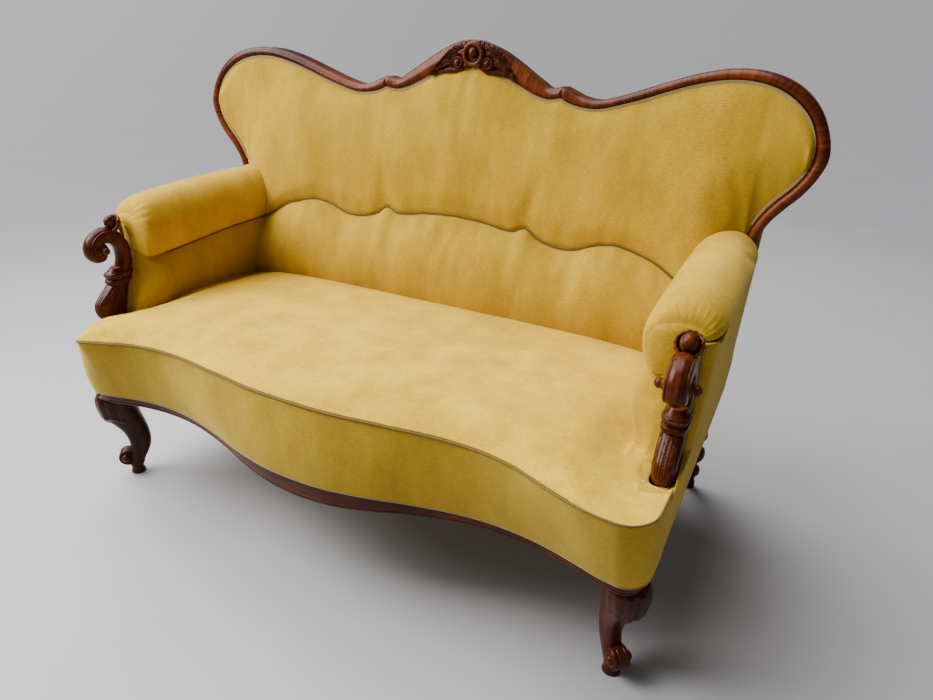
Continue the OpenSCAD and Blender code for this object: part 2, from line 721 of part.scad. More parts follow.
// Wave of the seam between the two back pads
seam_shares = [
    [0, 0.93], [0.1, 0.86], [0.17, 0.6], [0.215, 0.55], [0.248, 0.9], [0.28, 0.35], [0.345, 0], [0.42, 0.33],
    [0.52, 0.62], [0.6, 0.3], [0.7, -0.68], [0.78, -1.3], [0.9, -1.7]
];
function seam_at(x) = seam_z + seam_wave * smooth(seam_shares, abs(x) / half_back);

// How far each pad stands forward of the back's face
seam_forward = 46;
upper_crown = 22;
lobe_crown = 15;
edge_rise = 2;
arm_fade_shares = [0.72, 0.87];
function arm_fade(x) =
    1 - ease((abs(x) / half_back - arm_fade_shares[0]) / (arm_fade_shares[1] - arm_fade_shares[0]));
function upper_forward(x, v) =
    edge_rise
    + arm_fade(x) * ((seam_forward - edge_rise) * pow(1 - v, 1.2) + upper_crown * pow(sin(180 * v), 0.8))
    + (1 - arm_fade(x)) * lobe_crown * clamp((top_z(x) - upper_low(x)) / (2 * frame_d)) * sin(180 * v);
edge_gap = 0.4;
pad_side_in = 38;
pad_side = arm_x - pad_side_in;
lobe_start = last(lobe_inner)[0];
function upper_low(x) =
    abs(x) <= pad_side ? seam_at(x)
    : abs(x) < lobe_start + edge_gap ? joint_z + edge_gap
    : under_z(x) + edge_gap;
function upper_face(x, z) =
    let (low = upper_low(x), v = clamp((z - low) / (top_z(x) - low)))
    back_face(x, z) - upper_forward(x, v);

lower_pad_drop = 52;
lower_low = seat_h - lower_pad_drop;
lower_depth = 90;
lower_forward_shares = [[0, 0.78], [0.14, 0.86], [0.3, 0.97], [0.5, 1], [0.7, 0.9], [0.85, 0.72], [1, 0.51]];
function lower_face(x, z) =
    let (w = clamp((z - lower_low) / (seam_at(x) - lower_low)))
    back_face(x, z) - lower_depth * smooth(lower_forward_shares, w);
cushion_rear_z = seat_h + piping_r + feather + seat_crown - seat_fall;
function back_limit(x) = lower_face(x, cushion_rear_z) - fit * 2;
function pads_face(x, z) =
    z > seam_at(x) + 2 * upper_crown ? upper_face(x, z)
    : z > seam_at(x) ? min(upper_face(x, z), lower_face(x, z)) : lower_face(x, z);

// Seat support: webbing under the rails, springs, canvas and first stuffing
web_w = 50;
web_t = 1.4;
web_z = leg_h - fit - web_t;
spring_r = 42;
spring_span = 540;
spring_front_in = 213;
spring_rear_in = 237;
spring_front = front + spring_front_in;
spring_back = rear - spring_rear_in;
function web_start(x) = max([for (k = [-1:1]) plan_at(apron_lip_plan, x + k * web_w / 2)]) + fit * 4;
module seat_webbing() {
    columns = 2 * spring_columns - 1;
    rows = 2 * spring_rows - 1;
    color(linen) {
        for (i = [0:columns - 1]) {
            x = lerp(-spring_span, spring_span, i / (columns - 1));
            start = web_start(abs(x));
            translate([x - web_w / 2, start, web_z]) cube([web_w, rear_rail_y + rail_t / 2 - start, web_t]);
        }
        for (j = [0:rows - 1]) {
            y = lerp(spring_front, spring_back, j / (rows - 1));
            reach = world_x(rail_in, y - feet_y) + rail_t / 3;
            translate([-reach, y - web_w / 2, web_z]) cube([2 * reach, web_w, web_t]);
        }
    }
}

canvas_drop = 57;
canvas_z = seat_h - canvas_drop;
canvas_t = 1;
spring_low = web_z + web_t + fit;
spring_waist_share = 0.62;
spring_wire = 2.4;
spring_turns = 3;
spring_rings = 7;
spring_sides = 4;
spring_rise = canvas_z - fit - spring_low - spring_wire * 2;
spring_path = [for (i = [0:spring_turns * spring_rings])
    let (
        t = i / (spring_turns * spring_rings),
        r = (spring_r - spring_wire) * lerp(spring_waist_share, 1, pow(abs(2 * t - 1), 1.5)),
        a = 360 * i / spring_rings
    )
    [r * cos(a), r * sin(a), spring_low + spring_wire + spring_rise * t]];
spring_least_gap = min([for (i = [0:len(spring_path) - 1], k = [i + spring_rings - 2:len(spring_path) - 1])
    if (k - i > 2) norm(spring_path[i] - spring_path[k])]) - 2 * spring_wire;
module seat_springs() {
    echo("least gap between a spring's turns", spring_least_gap);
    color(steel)
    for (i = [0:spring_columns - 1], j = [0:spring_rows - 1])
        translate([
            lerp(-spring_span, spring_span, i / (spring_columns - 1)),
            lerp(spring_front, spring_back, j / (spring_rows - 1)), 0
        ]) cord(spring_path, spring_wire, spring_sides);
}

// Side line of the seat stuffing, just inside the arms' inner pads
pad_bulge = arm_w * 0.6;
side_gap = 1;
function side_x(y) = world_x(-pad_bulge - side_gap, y - feet_y);
module spring_canvas() {
    color(linen)
    translate([0, 0, canvas_z]) linear_extrude(canvas_t)
        polygon(concat(stuffing_plan, [
            [side_x(seat_back_y), seat_back_y + pad_back], [-side_x(seat_back_y), seat_back_y + pad_back]
        ]));
}

stuffing_low = canvas_z + canvas_t + fit;
stuffing_top = seat_h - piping_r - feather;
slope_in = 16;
slope_start = feet_y + slope_in;
seat_back_y = lower_face(half_seat / 2, tack_z);
slope_fall = stuffing_top - stuffing_low - feather * 12;
slope_angle = atan(slope_fall / (seat_back_y - slope_start));
module seat_stuffing() {
    color(linen)
    difference() {
        translate([0, 0, stuffing_low]) linear_extrude(stuffing_top - stuffing_low)
            polygon(concat(stuffing_plan, [
                [side_x(side_end) - side_gap, side_end],
                [side_x(seat_back_y) - side_gap, back_limit(side_x(seat_back_y))],
                [0, back_limit(0)],
                [-side_x(seat_back_y) + side_gap, back_limit(side_x(seat_back_y))],
                [-side_x(side_end) + side_gap, side_end]
            ]));
        translate([-half_seat, slope_start, stuffing_top]) rotate([-slope_angle, 0, 0])
            cube([2 * half_seat, overall_d, rail_h]);
    }
}
function slope_z(y) = stuffing_top - max(0, y - slope_start) * tan(slope_angle);

// Places along the sofa at which both pads have a section
lobe_places = [for (p = lobe_under) p[0]];
inner_places = [for (p = concat([for (i = [0:len(crest_inner) - 2]) crest_inner[i]], lobe_top)) p[0]];
seam_places = concat([for (x = inner_places) if (x < pad_side - feather) x], [pad_side]);
upper_places = concat(
    seam_places, [pad_side + feather],
    [for (x = inner_places) if (x > pad_side + over && x < lobe_start - feather) x],
    [for (x = lobe_places) if (x > lobe_start + feather / 2 && top_z(x) - under_z(x) > over * 2) x]);
function mirrored(half) =
    concat([for (i = [len(half) - 1:-1:1]) [for (p = half[i]) [-p[0], p[1], p[2]]]], half);

pad_rows = 8;
module upper_back_pad() {
    color(velvet)
    skin(mirrored([for (x = upper_places)
        let (low = upper_low(x) + fit, high = top_z(x) - edge_gap)
        concat(
            [for (k = [0:pad_rows])
                let (v = (1 - cos(180 * k / pad_rows)) / 2, z = lerp(low, high, v))
                [x, back_face(x, z) - upper_forward(x, v), z]],
            [[x, back_face(x, high) + pad_back, high], [x, back_face(x, low) + pad_back, low]]
        )]));
}

lower_rows = 7;
module lower_back_pad() {
    color(velvet)
    skin(mirrored([for (x = seam_places)
        let (high = seam_at(x) - fit)
        concat(
            [for (k = [0:lower_rows])
                let (z = lerp(lower_low, high, k / lower_rows)) [x, lower_face(x, z), z]],
            [[x, back_face(x, high) + pad_back, high], [x, back_face(x, lower_low) + pad_back, lower_low]]
        )]));
}

module back_seam_piping() {
    half = [for (i = [0:2:len(seam_places) - 4]) [seam_places[i], 0, seam_at(seam_places[i])]];
    path = concat([for (i = [len(half) - 1:-1:1]) [-half[i][0], 0, half[i][2]]], half);
    color(velvet_trim)
    cord([for (p = path) [p[0], lower_face(p[0], p[2] - cord_r * 2) - cord_r - fit * 2, p[2]]],
        cord_r, 4, [0, 1, 0]);
}

module back_frame_cord() {
    line = concat([for (p = crest_inner) p], [for (i = [1:len(lobe_inner) - 3]) lobe_inner[i]]);
    path = concat([for (i = [len(line) - 1:-1:1]) [-line[i][0], line[i][1]]], line);
    color(velvet_trim)
    cord([for (p = path) [p[0], back_face(p[0], p[1]) - edge_rise - cord_r * 1.8 - fit, p[1]]],
        cord_r, 3, [0, 1, 0]);
}

// Places of the cloth over the outside of the arm
outer_t = 5;
outer_low_z = border_foot_z;
outer_top = roll_z + roll_h * 0.5 - fit;
outer_low_x = half_seat - foot_inset - arm_x;
outer_lean = 24;
outer_slope = outer_lean / (outer_top - outer_low_z);

// Canvas behind the pads, and the cloth over the back of the frame
canvas_back = 1.2;
cloth_t = 2;
canvas_places_shares = [0, 0.1, 0.2, 0.293, 0.4, 0.5, 0.6, 0.7, 0.8];
module back_canvas() {
    color(linen)
    skin(mirrored([for (s = canvas_places_shares)
        let (x = s * half_back, low = lower_low, high = top_z(x) - moulding)
        [for (c = [[low, 0], [high, 0], [high, 1], [low, 1]])
            [x, back_face(x, c[0]) + pad_back + fit + canvas_back * c[1], c[0]]]]), fans = false);
}

outside_shares = [0, 0.03, 0.07, 0.13, 0.2, 0.29, 0.4, 0.5, 0.6, 0.7, 0.78, 0.82];
outside_lobe_shares = [0.887, 0.91, 0.935, 0.955];
cloth_overlap = 7;
outside_low_x = world_x(outer_low_x, side_rail_end) - fit;
outside_joint_x = last(lobe_shares)[2] * half_back - fit;
function outside_y(x, z) =
    z >= joint_z ? back_face(x, z) + frame_d + fit
    : lerp(rear_rail_y + rail_t, back_face(x, joint_z) + frame_d, clamp((z - rail_top) / (joint_z - rail_top)))
        + fit;
function outside_ring(x, zs) = concat(
    [for (z = zs) [x, outside_y(x, z), z]],
    [for (z = flip(zs)) [x, outside_y(x, z) + cloth_t, z]]);
module outside_back() {
    flat = [for (x = concat([for (s = outside_shares) s * half_back], [outside_low_x]))
        outside_ring(x, [leg_h + fit, rail_top, joint_z, top_z(x) + cloth_overlap])];
    joint = [outside_ring(outside_joint_x, [outer_top, lerp(outer_top, joint_z, 0.5), joint_z,
        top_z(outside_joint_x) + cloth_overlap])];
    lobe = [for (s = outside_lobe_shares)
        let (x = s * half_back, high = top_z(x) + cloth_overlap, low = under_z(x) - cloth_overlap)
        outside_ring(x, [low, lerp(low, high, 0.33), lerp(low, high, 0.66), high])];
    color(velvet)
    skin(mirrored(concat(flat, joint, lobe)), fans = false);
}

// Seat cushion: crowned at the front, falling to the back, drawn in along the arms
crown_run = 78;
side_draw = 11;
side_run_share = 0.86;
front_draw = 5;
cushion_rows_shares = [0, 0.012, 0.035, 0.075, 0.13, 0.22, 0.36, 0.52, 0.68, 0.82, 0.93, 1];
function seat_top(x, y, y_front, span, s) =
    let (
        d = min(1, max(0, min(y - y_front, half_seat - x)) / crown_run),
        side = s > side_run_share && s <= 1 ? pow((s - side_run_share) / (1 - side_run_share), 2) : 0
    )
    seat_h + piping_r + feather + seat_crown * sqrt(1 - pow(1 - d, 2))
    - seat_fall * pow(clamp((y - y_front) / span), 1.3) - side_draw * side * clamp((y - feet_y) / crown_run);
inset_plan = edge_plan(piping_shares, half_seat, fit * 2);
function cushion_ring(plan, s, extra, y_back_limit) =
    let (
        x0 = s * side_x(front) + extra,
        y_front = lookup(x0, plan),
        span = back_limit(0) - y_front,
        y_back = y_back_limit,
        under_front = min(y_front + front_draw, lerp(y_front, y_back, 0.3)),
        top = [for (r = cushion_rows_shares)
            let (y = lerp(y_front, y_back, r), x = s * side_x(y) + extra)
            [x, y, seat_top(x, y, y_front, span, extra > 0 ? 2 : s)]],
        mid_y = max(under_front, min(slope_start, y_back)),
        under = [for (y = [y_back, mid_y, under_front])
            [s * side_x(y) + extra, y, slope_z(y) + fit * 2]]
    )
    concat(top, under);
side_places_shares = [0.905, 0.985, 1];
arm_front = facing_d * 0.72;
facing_room_share = 0.65;
corner_shares = [0.02, 0.25, 0.5, 0.7, 0.85, 0.95, 1];
cushion_end = 3;
function cushion_half(plan, last_place) =
    let (
        x_side = side_x(front),
        facing_side = arm_x - facing_w * facing_room_share - x_side,
        plan_places = [for (s = edge_places_share) if (s * half_seat < x_side - over) s * half_seat / x_side],
        n = len(plan_places),
        places = concat(
            [for (i = [0:n - 2]) plan_places[i]], [side_places_shares[0], plan_places[n - 1]],
            [side_places_shares[1], side_places_shares[2]])
    )
    concat(
        [for (s = places) cushion_ring(plan, s, 0, back_limit(s * side_x(seat_back_y)))],
        [for (e = [feather, facing_side / 2, facing_side])
            cushion_ring(plan, 1, e, feet_y + arm_front - fit * 6)],
        [for (t = corner_shares)
            cushion_ring(plan, 1, lerp(facing_side, last_place - x_side, t), side_end - fit * 2)]
    );
module seat_cushion() {
    left_plan = drawn_in(inset_plan, corner_draw);
    right = cushion_half([for (i = [0:len(inset_plan) - 2]) inset_plan[i]], half_seat - fit * 4);
    left = cushion_half(left_plan, last(left_plan)[0] - cushion_end);
    color(velvet)
    skin(concat([for (i = [len(left) - 1:-1:1]) [for (p = left[i]) [-p[0], p[1], p[2]]]], right));
}

// Front border: a stuffed band from the bottom cord up to the piping
border_bulge = 7;
module front_border() {
    color(velvet)
    skin([for (i = [0:len(foot_plan) - 1])
        let (
            b = foot_plan[i], t = piping_plan[i], f = rail_face_plan[i], s = stuffing_plan[i],
            out = unit([b[0] - f[0], b[1] - f[1]]),
            top = stuffing_top,
            low = border_foot_z,
            face = [for (k = [0, 0.14, 0.34, 0.56, 0.78, 0.93, 1])
                let (q = lerp(b, t, pow(k, 1.15)) + out * border_bulge * sin(180 * pow(k, 0.8)))
                [q[0], q[1], lerp(low, top, k)]],
            s_in = lerp(f, s, 1 - fit / (rail_t + fit))
        )
        concat(face, [
            [s_in[0], s_in[1], top], [s_in[0], s_in[1], rail_top + fit],
            [lerp(b, f, 0.98)[0], lerp(b, f, 0.98)[1], rail_top + fit],
            [lerp(b, f, 0.98)[0], lerp(b, f, 0.98)[1], low]
        ])], fans = false);
}

module seat_piping() {
    line = both_halves(edge_plan(piping_shares, half_seat, -fit * 2.5), corner_draw);
    color(velvet_trim)
    cord([for (p = line) [p[0], p[1], seat_h]], piping_r, 5);
}

module border_cord() {
    color(velvet_trim)
    cord([for (p = both_halves(edge_plan(foot_shares, half_seat - foot_inset, cord_r), foot_draw))
        [p[0], p[1], border_foot_z - cord_r - fit]], cord_r, 4);
}

// Arm roll: share across from outside to inside, share of its height
roll_out = arm_w * 0.34;
roll_middle_share = [0.5, 0.5];
pad_clear = 7;
roll_shares = [
    [0.13, 0], [0.12, 0.5], [0.02, 0.535], [0, 0.62], [0.03, 0.75], [0.12, 0.87], [0.26, 0.96], [0.44, 1],
    [0.63, 0.97], [0.8, 0.86], [0.93, 0.68], [1, 0.45], [0.98, 0.2], [0.9, 0]
];
roll_steps_shares = [
    [0, 0.8, 0.48, 1], [0.01, 0.88, 0.66, 1], [0.035, 0.95, 0.8, 1], [0.075, 0.985, 0.89, 1],
    [0.16, 1, 0.95, 1],
    [0.4, 1, 1, 1], [0.7, 1, 1, 1], [1, 1, 0.97, 1], [1, 1, 0.97, 0.7], [1, 1, 0.97, 0.4]
];
function arm_reach(x, y, z, tries) =
    let (wx = world_x(x, y), face = min(pads_face(wx, z), back_face(wx, z) - moulding))
    tries == 0 ? arm_y(face, x) : arm_reach(x, arm_y(face, x), z, tries - 1);
function roll_end(x, z) = arm_reach(x, spring_back - feet_y, z, 2) - pad_clear;
module arm_roll(side) {
    color(velvet)
    arm(side)
    skin([for (t = roll_steps_shares)
        [for (s = roll_shares)
            let (
                near = lerp(roll_middle_share, s, t[3]),
                x = roll_out - arm_w * lerp(roll_middle_share[0], near[0], t[1]),
                lip = roll_middle_share[1],
                z = roll_z + roll_h * (near[1] < lip ? near[1] : lerp(lip, near[1], t[2]))
            )
            [x, lerp(cover_front, roll_end(x, z), t[0]), z]]]);
}

// Inner arm pad between the roll's seam and the seat
inner_pad_shares = [
    [0, 0], [0.6, 0], [0.9, 0.12], [1, 0.38], [1, 0.62], [0.97, 0.86], [0.9, 1], [0.45, 1],
    [0, 1], [0, 0.75], [0, 0.5], [0, 0.25]
];
inner_front = facing_d * 0.74;
inner_pad_drop = 24;
inner_pad_low = seat_h - inner_pad_drop;
inner_steps_shares = [
    [0, 0.82, 1, 0], [0.03, 0.93, 1, 0], [0.14, 1, 1, 0], [0.185, 1, 1, 1], [0.4, 1, 1, 1], [0.7, 1, 1, 1],
    [1, 1, 1, 1], [1, 1, 0.65, 1], [1, 1, 0.3, 1]
];
module inner_arm_pad(side) {
    high = roll_z - (cord_r + fit) * 2;
    color(velvet)
    arm(side)
    skin([for (t = inner_steps_shares)
        [for (s = inner_pad_shares)
            let (
                near = lerp(roll_middle_share, s, t[2]),
                back_x = lerp(-facing_w * 0.66, stump_in - fit * 2, t[3]),
                x = lerp(back_x, -pad_bulge, near[0] * t[1]),
                z = lerp(inner_pad_low, high, near[1])
            )
            [x, lerp(inner_front, roll_end(x, z), t[0]), z]]]);
}

// Pipings along the arm: the inner seam under the roll and the outer seam over the side cloth
module arm_piping(side) {
    nestle = (cord_r + fit) * sqrt(0.5);
    inner = roll_out - arm_w * 0.9 - nestle;
    outer = outer_low_x + outer_lean + cord_r + fit;
    color(velvet_trim)
    arm(side)
    for (line = [[inner, roll_z - nestle], [outer, outer_top]])
        cord([for (t = [0, 0.25, 0.5, 0.75, 1])
            [line[0], lerp(cover_front, roll_end(line[0], line[1]) - cord_r, t), line[1]]], cord_r, 5);
}

// Cord along the cover's edge behind each side of the facing
module facing_cord(side) {
    heights = [for (k = [0:10]) lerp(facing_low + facing_h * 0.08, facing_low + facing_h * 0.92, k / 10)];
    color(velvet_trim)
    arm(side)
    for (x = [stump_in - cord_r - fit, stump_in + stump_w + cord_r + fit])
        cord([for (z = heights) [x, facing_back(z) + cord_r + fit, z]], cord_r, 4, [1, 0, 0]);
}

// Cloth over the outside of the arm, leaning out from the seat rail to the roll
module outer_arm(side) {
    start = arm_y(side_end, 0) + fit * 2;
    top_rear = arm_y(outside_y(outside_joint_x, outer_top), outer_low_x + outer_lean) - fit * 4;
    low_rear = arm_y(rear_rail_y + rail_t, outer_low_x) - fit * 2;
    low_share = (outer_low_z - leg_h) / (outer_top - leg_h);
    cord_back = cord_r * 2 + fit * 2;
    step_z = seat_h + piping_r + fit * 2;
    heights = [for (k = [0:8]) lerp(step_z, facing_top, k / 8)];
    color(velvet)
    arm(side)
    multmatrix([
        [1, 0, outer_slope, outer_low_x - outer_t - outer_slope * outer_low_z],
        [0, 1, 0, 0], [0, 0, 1, 0], [0, 0, 0, 1]
    ])
    rotate([90, 0, 90]) linear_extrude(outer_t)
        polygon(concat(
            [[start, outer_low_z], [start, step_z]],
            [for (z = heights) if (z < outer_top) [facing_back(z) + cord_back, z]],
            [[facing_back(outer_top) + cord_back, outer_top], [top_rear, outer_top],
                [lerp(low_rear, top_rear, low_share), outer_low_z]]
        ));
}

// Thin cloth under the seat, cut out round the legs
module bottom_cover() {
    color(linen)
    translate([0, 0, web_z - fit - feather]) linear_extrude(feather)
        difference() {
            polygon(concat(apron_lip_inner, [
                [world_x(rail_in, side_rail_end) + rail_t / 2, rear_rail_y + rail_t / 2],
                [-world_x(rail_in, side_rail_end) - rail_t / 2, rear_rail_y + rail_t / 2]
            ]));
            for (side = [-1, 1]) {
                translate([side * feet_half, feet_y]) circle(leg_reach);
                translate([side * rear_leg_x, rear_leg_top_y]) square(rear_leg_head + over, center = true);
            }
        }
}

crest_frame();
back_frame(-1);  // left_back_frame
back_frame(1);  // right_back_frame
crest_carving();
front_rail();
front_leg(-1);  // left_front_leg
front_leg(1);  // right_front_leg
rear_leg(-1);  // left_rear_leg
rear_leg(1);  // right_rear_leg
arm_facing(-1);  // left_arm_facing
arm_facing(1);  // right_arm_facing
rear_seat_rail();
seat_rail(-1);  // left_seat_rail
seat_rail(1);  // right_seat_rail
corner_blocks();
seat_cross_rail();
back_post(-1);  // left_back_post
back_post(1);  // right_back_post
lower_back_rail();
back_slats();
arm_stump(-1);  // left_arm_stump
arm_stump(1);  // right_arm_stump
arm_rail(-1);  // left_arm_rail
arm_rail(1);  // right_arm_rail
tacking_rail(-1);  // left_tacking_rail
tacking_rail(1);  // right_tacking_rail
seat_webbing();
seat_springs();
spring_canvas();
seat_stuffing();
seat_cushion();
front_border();
seat_piping();
border_cord();
upper_back_pad();
lower_back_pad();
back_seam_piping();
back_frame_cord();
back_canvas();
outside_back();
arm_roll(-1);  // left_arm_roll
arm_roll(1);  // right_arm_roll
inner_arm_pad(-1);  // left_inner_arm_pad
inner_arm_pad(1);  // right_inner_arm_pad
arm_piping(-1);  // left_arm_piping
arm_piping(1);  // right_arm_piping
facing_cord(-1);  // left_facing_cord
facing_cord(1);  // right_facing_cord
outer_arm(-1);  // left_outer_arm
outer_arm(1);  // right_outer_arm
bottom_cover();
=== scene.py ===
import math

import bpy
import numpy as np
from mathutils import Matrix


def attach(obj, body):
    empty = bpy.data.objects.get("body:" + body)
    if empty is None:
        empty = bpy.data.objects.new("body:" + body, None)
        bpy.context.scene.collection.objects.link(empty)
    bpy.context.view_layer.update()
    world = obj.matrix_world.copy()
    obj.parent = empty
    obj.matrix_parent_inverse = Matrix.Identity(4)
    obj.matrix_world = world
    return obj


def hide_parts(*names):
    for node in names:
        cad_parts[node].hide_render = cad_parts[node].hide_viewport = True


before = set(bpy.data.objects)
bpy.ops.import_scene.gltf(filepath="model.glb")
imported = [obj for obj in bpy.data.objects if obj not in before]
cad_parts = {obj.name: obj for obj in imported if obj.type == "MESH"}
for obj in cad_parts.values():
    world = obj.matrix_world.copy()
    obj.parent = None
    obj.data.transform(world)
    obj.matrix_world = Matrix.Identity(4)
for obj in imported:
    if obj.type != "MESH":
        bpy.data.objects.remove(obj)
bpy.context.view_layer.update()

# Everything below is worked out in millimetres and put into the meshes in metres
mm = 0.001
# Heights and half widths that several pieces share; left is the side of negative x, and the front is at negative y
sofa = {
    "backHalf": 826.0, "seatHalf": 732.0, "front": -423.0, "feetY": -294.0, "crestZ": 1066.0, "armTop": 720.0,
    "jointZ": 690.0, "backRise": 376.0, "seatZ": 455.0, "legZ": 250.0, "legTop": 249.7, "railZ": 355.0,
}


def clamp(t):  # held between 0 and 1
    return np.clip(t, 0.0, 1.0)


def ease(t):  # from 0 to 1 with a soft start and end
    s = clamp(t)
    return s * s * (3 - 2 * s)


def lerp(a, b, t):  # the share t of the way from a to b
    return a + (b - a) * t


def ringAngles(count):  # angles once round, as one row
    return np.linspace(0, 2 * np.pi, count, endpoint=False)[None, :]


# A cubic through the rows [place, value] of a table, with slopes taken from the neighbours
def follow(table, x):
    rows = np.asarray(table, float)
    place, value = rows[:, 0], rows[:, 1]
    n = len(place)
    low, high = np.maximum(np.arange(n) - 1, 0), np.minimum(np.arange(n) + 1, n - 1)
    slope = (value[high] - value[low]) / (place[high] - place[low])
    x = np.asarray(x, float)
    i = np.clip(np.searchsorted(place, x, side="right") - 1, 0, n - 2)
    gap = place[i + 1] - place[i]
    s = clamp((x - place[i]) / gap)
    return (value[i] * (2 * s**3 - 3 * s**2 + 1) + slope[i] * gap * (s**3 - 2 * s**2 + s)
            + value[i + 1] * (3 * s**2 - 2 * s**3) + slope[i + 1] * gap * (s**3 - s**2))


# A smooth line through points, each stretch cut into equal steps (Catmull-Rom)
def lineThrough(points, steps):
    p = np.asarray(points, float)
    p = np.vstack([p[:1], p, p[-1:]])
    t = (np.arange(steps) / steps)[None, :, None]
    a, b, c, d = (p[k:len(p) - 3 + k, None, :] for k in range(4))
    q = b + (c - a) * t / 2 + (2 * a - 5 * b + 4 * c - d) * t**2 / 2 + (3 * b - a - 3 * c + d) * t**3 / 2
    return np.vstack([q.reshape(-1, p.shape[1]), p[-1:]])


# The same line walked in equal lengths
def evenly(path, count):
    path = np.asarray(path, float)
    run = np.concatenate([[0], np.cumsum(np.linalg.norm(np.diff(path, axis=0), axis=1))])
    at = np.linspace(0, run[-1], count)
    return np.stack([np.interp(at, run, path[:, k]) for k in range(path.shape[1])], axis=1)


# A half line mirrored across the middle and joined to itself
def bothHalves(half):
    other = half[:0:-1].copy()
    other[:, 0] *= -1
    return np.vstack([other, half])


# Unit vectors the way a path runs, one for each of its points
def directions(path):
    along = np.gradient(path, axis=0)
    return along / np.linalg.norm(along, axis=1, keepdims=True)


# Meshes

# A surface through a grid of points: rows run along it, and columns may close into rings with fan caps.
# Its map holds lengths in metres, and a closed surface whose signed volume is negative is turned round
def gridPiece(name, points, material, ring=True, turned=False, smooth=60, replaces=(), wrapRows=False):
    m, n = points.shape[:2]
    rowCount = m if wrapRows else m - 1
    colCount = n if ring else n - 1
    i, j = np.meshgrid(np.arange(rowCount), np.arange(colCount), indexing="ij")
    i1, j1 = (i + 1) % m, (j + 1) % n
    quads = np.stack([i * n + j, i * n + j1, i1 * n + j1, i1 * n + j], axis=-1).reshape(-1, 4)
    co = points.reshape(-1, 3)
    along = np.linalg.norm(np.diff(points, axis=0), axis=2).mean(axis=1)
    across = np.linalg.norm(np.diff(points, axis=1), axis=2).mean(axis=0)
    u = np.concatenate([[0], np.cumsum(along)]) * mm
    v = np.concatenate([[0], np.cumsum(across)]) * mm
    closing = np.linalg.norm(points[:, 0] - points[:, -1], axis=1).mean() * mm
    v1 = np.concatenate([v, [v[-1] + closing]])
    u1 = np.concatenate([u, [u[-1] + (np.linalg.norm(points[0] - points[-1], axis=1).mean() * mm)]])
    quadUv = np.stack([
        np.stack([u1[i], v1[j]], -1), np.stack([u1[i], v1[j + 1]], -1),
        np.stack([u1[i + 1], v1[j + 1]], -1), np.stack([u1[i + 1], v1[j]], -1)], axis=2).reshape(-1, 4, 2)
    tris = np.zeros((0, 3), int)
    triUv = np.zeros((0, 3, 2))
    if ring and not wrapRows:
        middle = np.vstack([points[0].mean(axis=0), points[-1].mean(axis=0)])
        co = np.vstack([co, middle])
        k = np.arange(n)
        k1 = (k + 1) % n
        last = (m - 1) * n
        tris = np.vstack([
            np.stack([np.full(n, m * n), k1, k], -1),
            np.stack([np.full(n, m * n + 1), last + k, last + k1], -1)])
        flat = np.stack([u[0] + 0 * v, v], -1)
        triUv = np.vstack([np.stack([flat, flat, flat], 1), np.stack([flat + [u[-1], 0]] * 3, 1)])
        full = np.concatenate([
            np.einsum("ij,ij->i", np.cross(co[quads[:, 0]], co[quads[:, 1]]), co[quads[:, 2]]),
            np.einsum("ij,ij->i", np.cross(co[quads[:, 0]], co[quads[:, 2]]), co[quads[:, 3]]),
            np.einsum("ij,ij->i", np.cross(co[tris[:, 0]], co[tris[:, 1]]), co[tris[:, 2]])])
        inside = full.sum() < 0
    elif wrapRows:
        inside = (np.einsum("ij,ij->i", np.cross(co[quads[:, 0]], co[quads[:, 1]]), co[quads[:, 2]])
                  + np.einsum("ij,ij->i", np.cross(co[quads[:, 0]], co[quads[:, 2]]), co[quads[:, 3]])).sum() < 0
    else:
        inside = False
    if inside:
        quads, quadUv = quads[:, ::-1], quadUv[:, ::-1]
        tris, triUv = tris[:, ::-1], triUv[:, ::-1]
    mesh = bpy.data.meshes.new(name)
    mesh.vertices.add(len(co))
    mesh.vertices.foreach_set("co", (co * mm).astype(np.float32).ravel())
    loops = np.concatenate([quads.ravel(), tris.ravel()]).astype(np.int32)
    starts = np.concatenate([np.arange(len(quads)) * 4, len(quads) * 4 + np.arange(len(tris)) * 3]).astype(np.int32)
    mesh.loops.add(len(loops))
    mesh.loops.foreach_set("vertex_index", loops)
    mesh.polygons.add(len(starts))
    mesh.polygons.foreach_set("loop_start", starts)
    layer = mesh.uv_layers.new(name="UVMap")
    mesh.update(calc_edges=True)
    places = np.concatenate([quadUv.reshape(-1, 2), triUv.reshape(-1, 2)])
    layer.data.foreach_set("uv", (places[:, ::-1] if turned else places).astype(np.float32).ravel())
    mesh.validate()
    return finishPiece(name, mesh, material, smooth, replaces)


# Shading, material and place in the part for a finished mesh
def finishPiece(name, mesh, material, smooth=60, replaces=()):
    mesh.polygons.foreach_set("use_smooth", np.ones(len(mesh.polygons), bool))
    mesh.set_sharp_from_angle(angle=math.radians(smooth))
    mesh.materials.append(material)
    piece = bpy.data.objects.new(name, mesh)
    bpy.context.scene.collection.objects.link(piece)
    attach(piece, "root")
    if replaces:
        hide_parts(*replaces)
    return piece


# Several closed surfaces put together as one piece, each keeping its own map
def joined(name, parts, replaces=()):
    keep = parts[0]
    with bpy.context.temp_override(active_object=keep, selected_editable_objects=parts, object=keep):
        bpy.ops.object.join()
    keep.name = name
    keep.data.name = name
    if replaces:
        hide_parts(*replaces)
    return keep


# A round tube: at each point of the path a circle stands square to the way the path runs
def tubePoints(path, radius, sides=10, up=(0.0, 0.0, 1.0)):
    path = np.asarray(path, float)
    along = directions(path)
    across = np.cross(along, np.asarray(up, float))
    across /= np.linalg.norm(across, axis=1, keepdims=True)
    over = np.cross(across, along)
    a = np.linspace(0, 2 * np.pi, sides, endpoint=False)[None, :, None]
    r = np.broadcast_to(np.asarray(radius, float), (len(path),))[:, None, None]
    return path[:, None, :] + r * (np.cos(a) * across[:, None, :] + np.sin(a) * over[:, None, :])


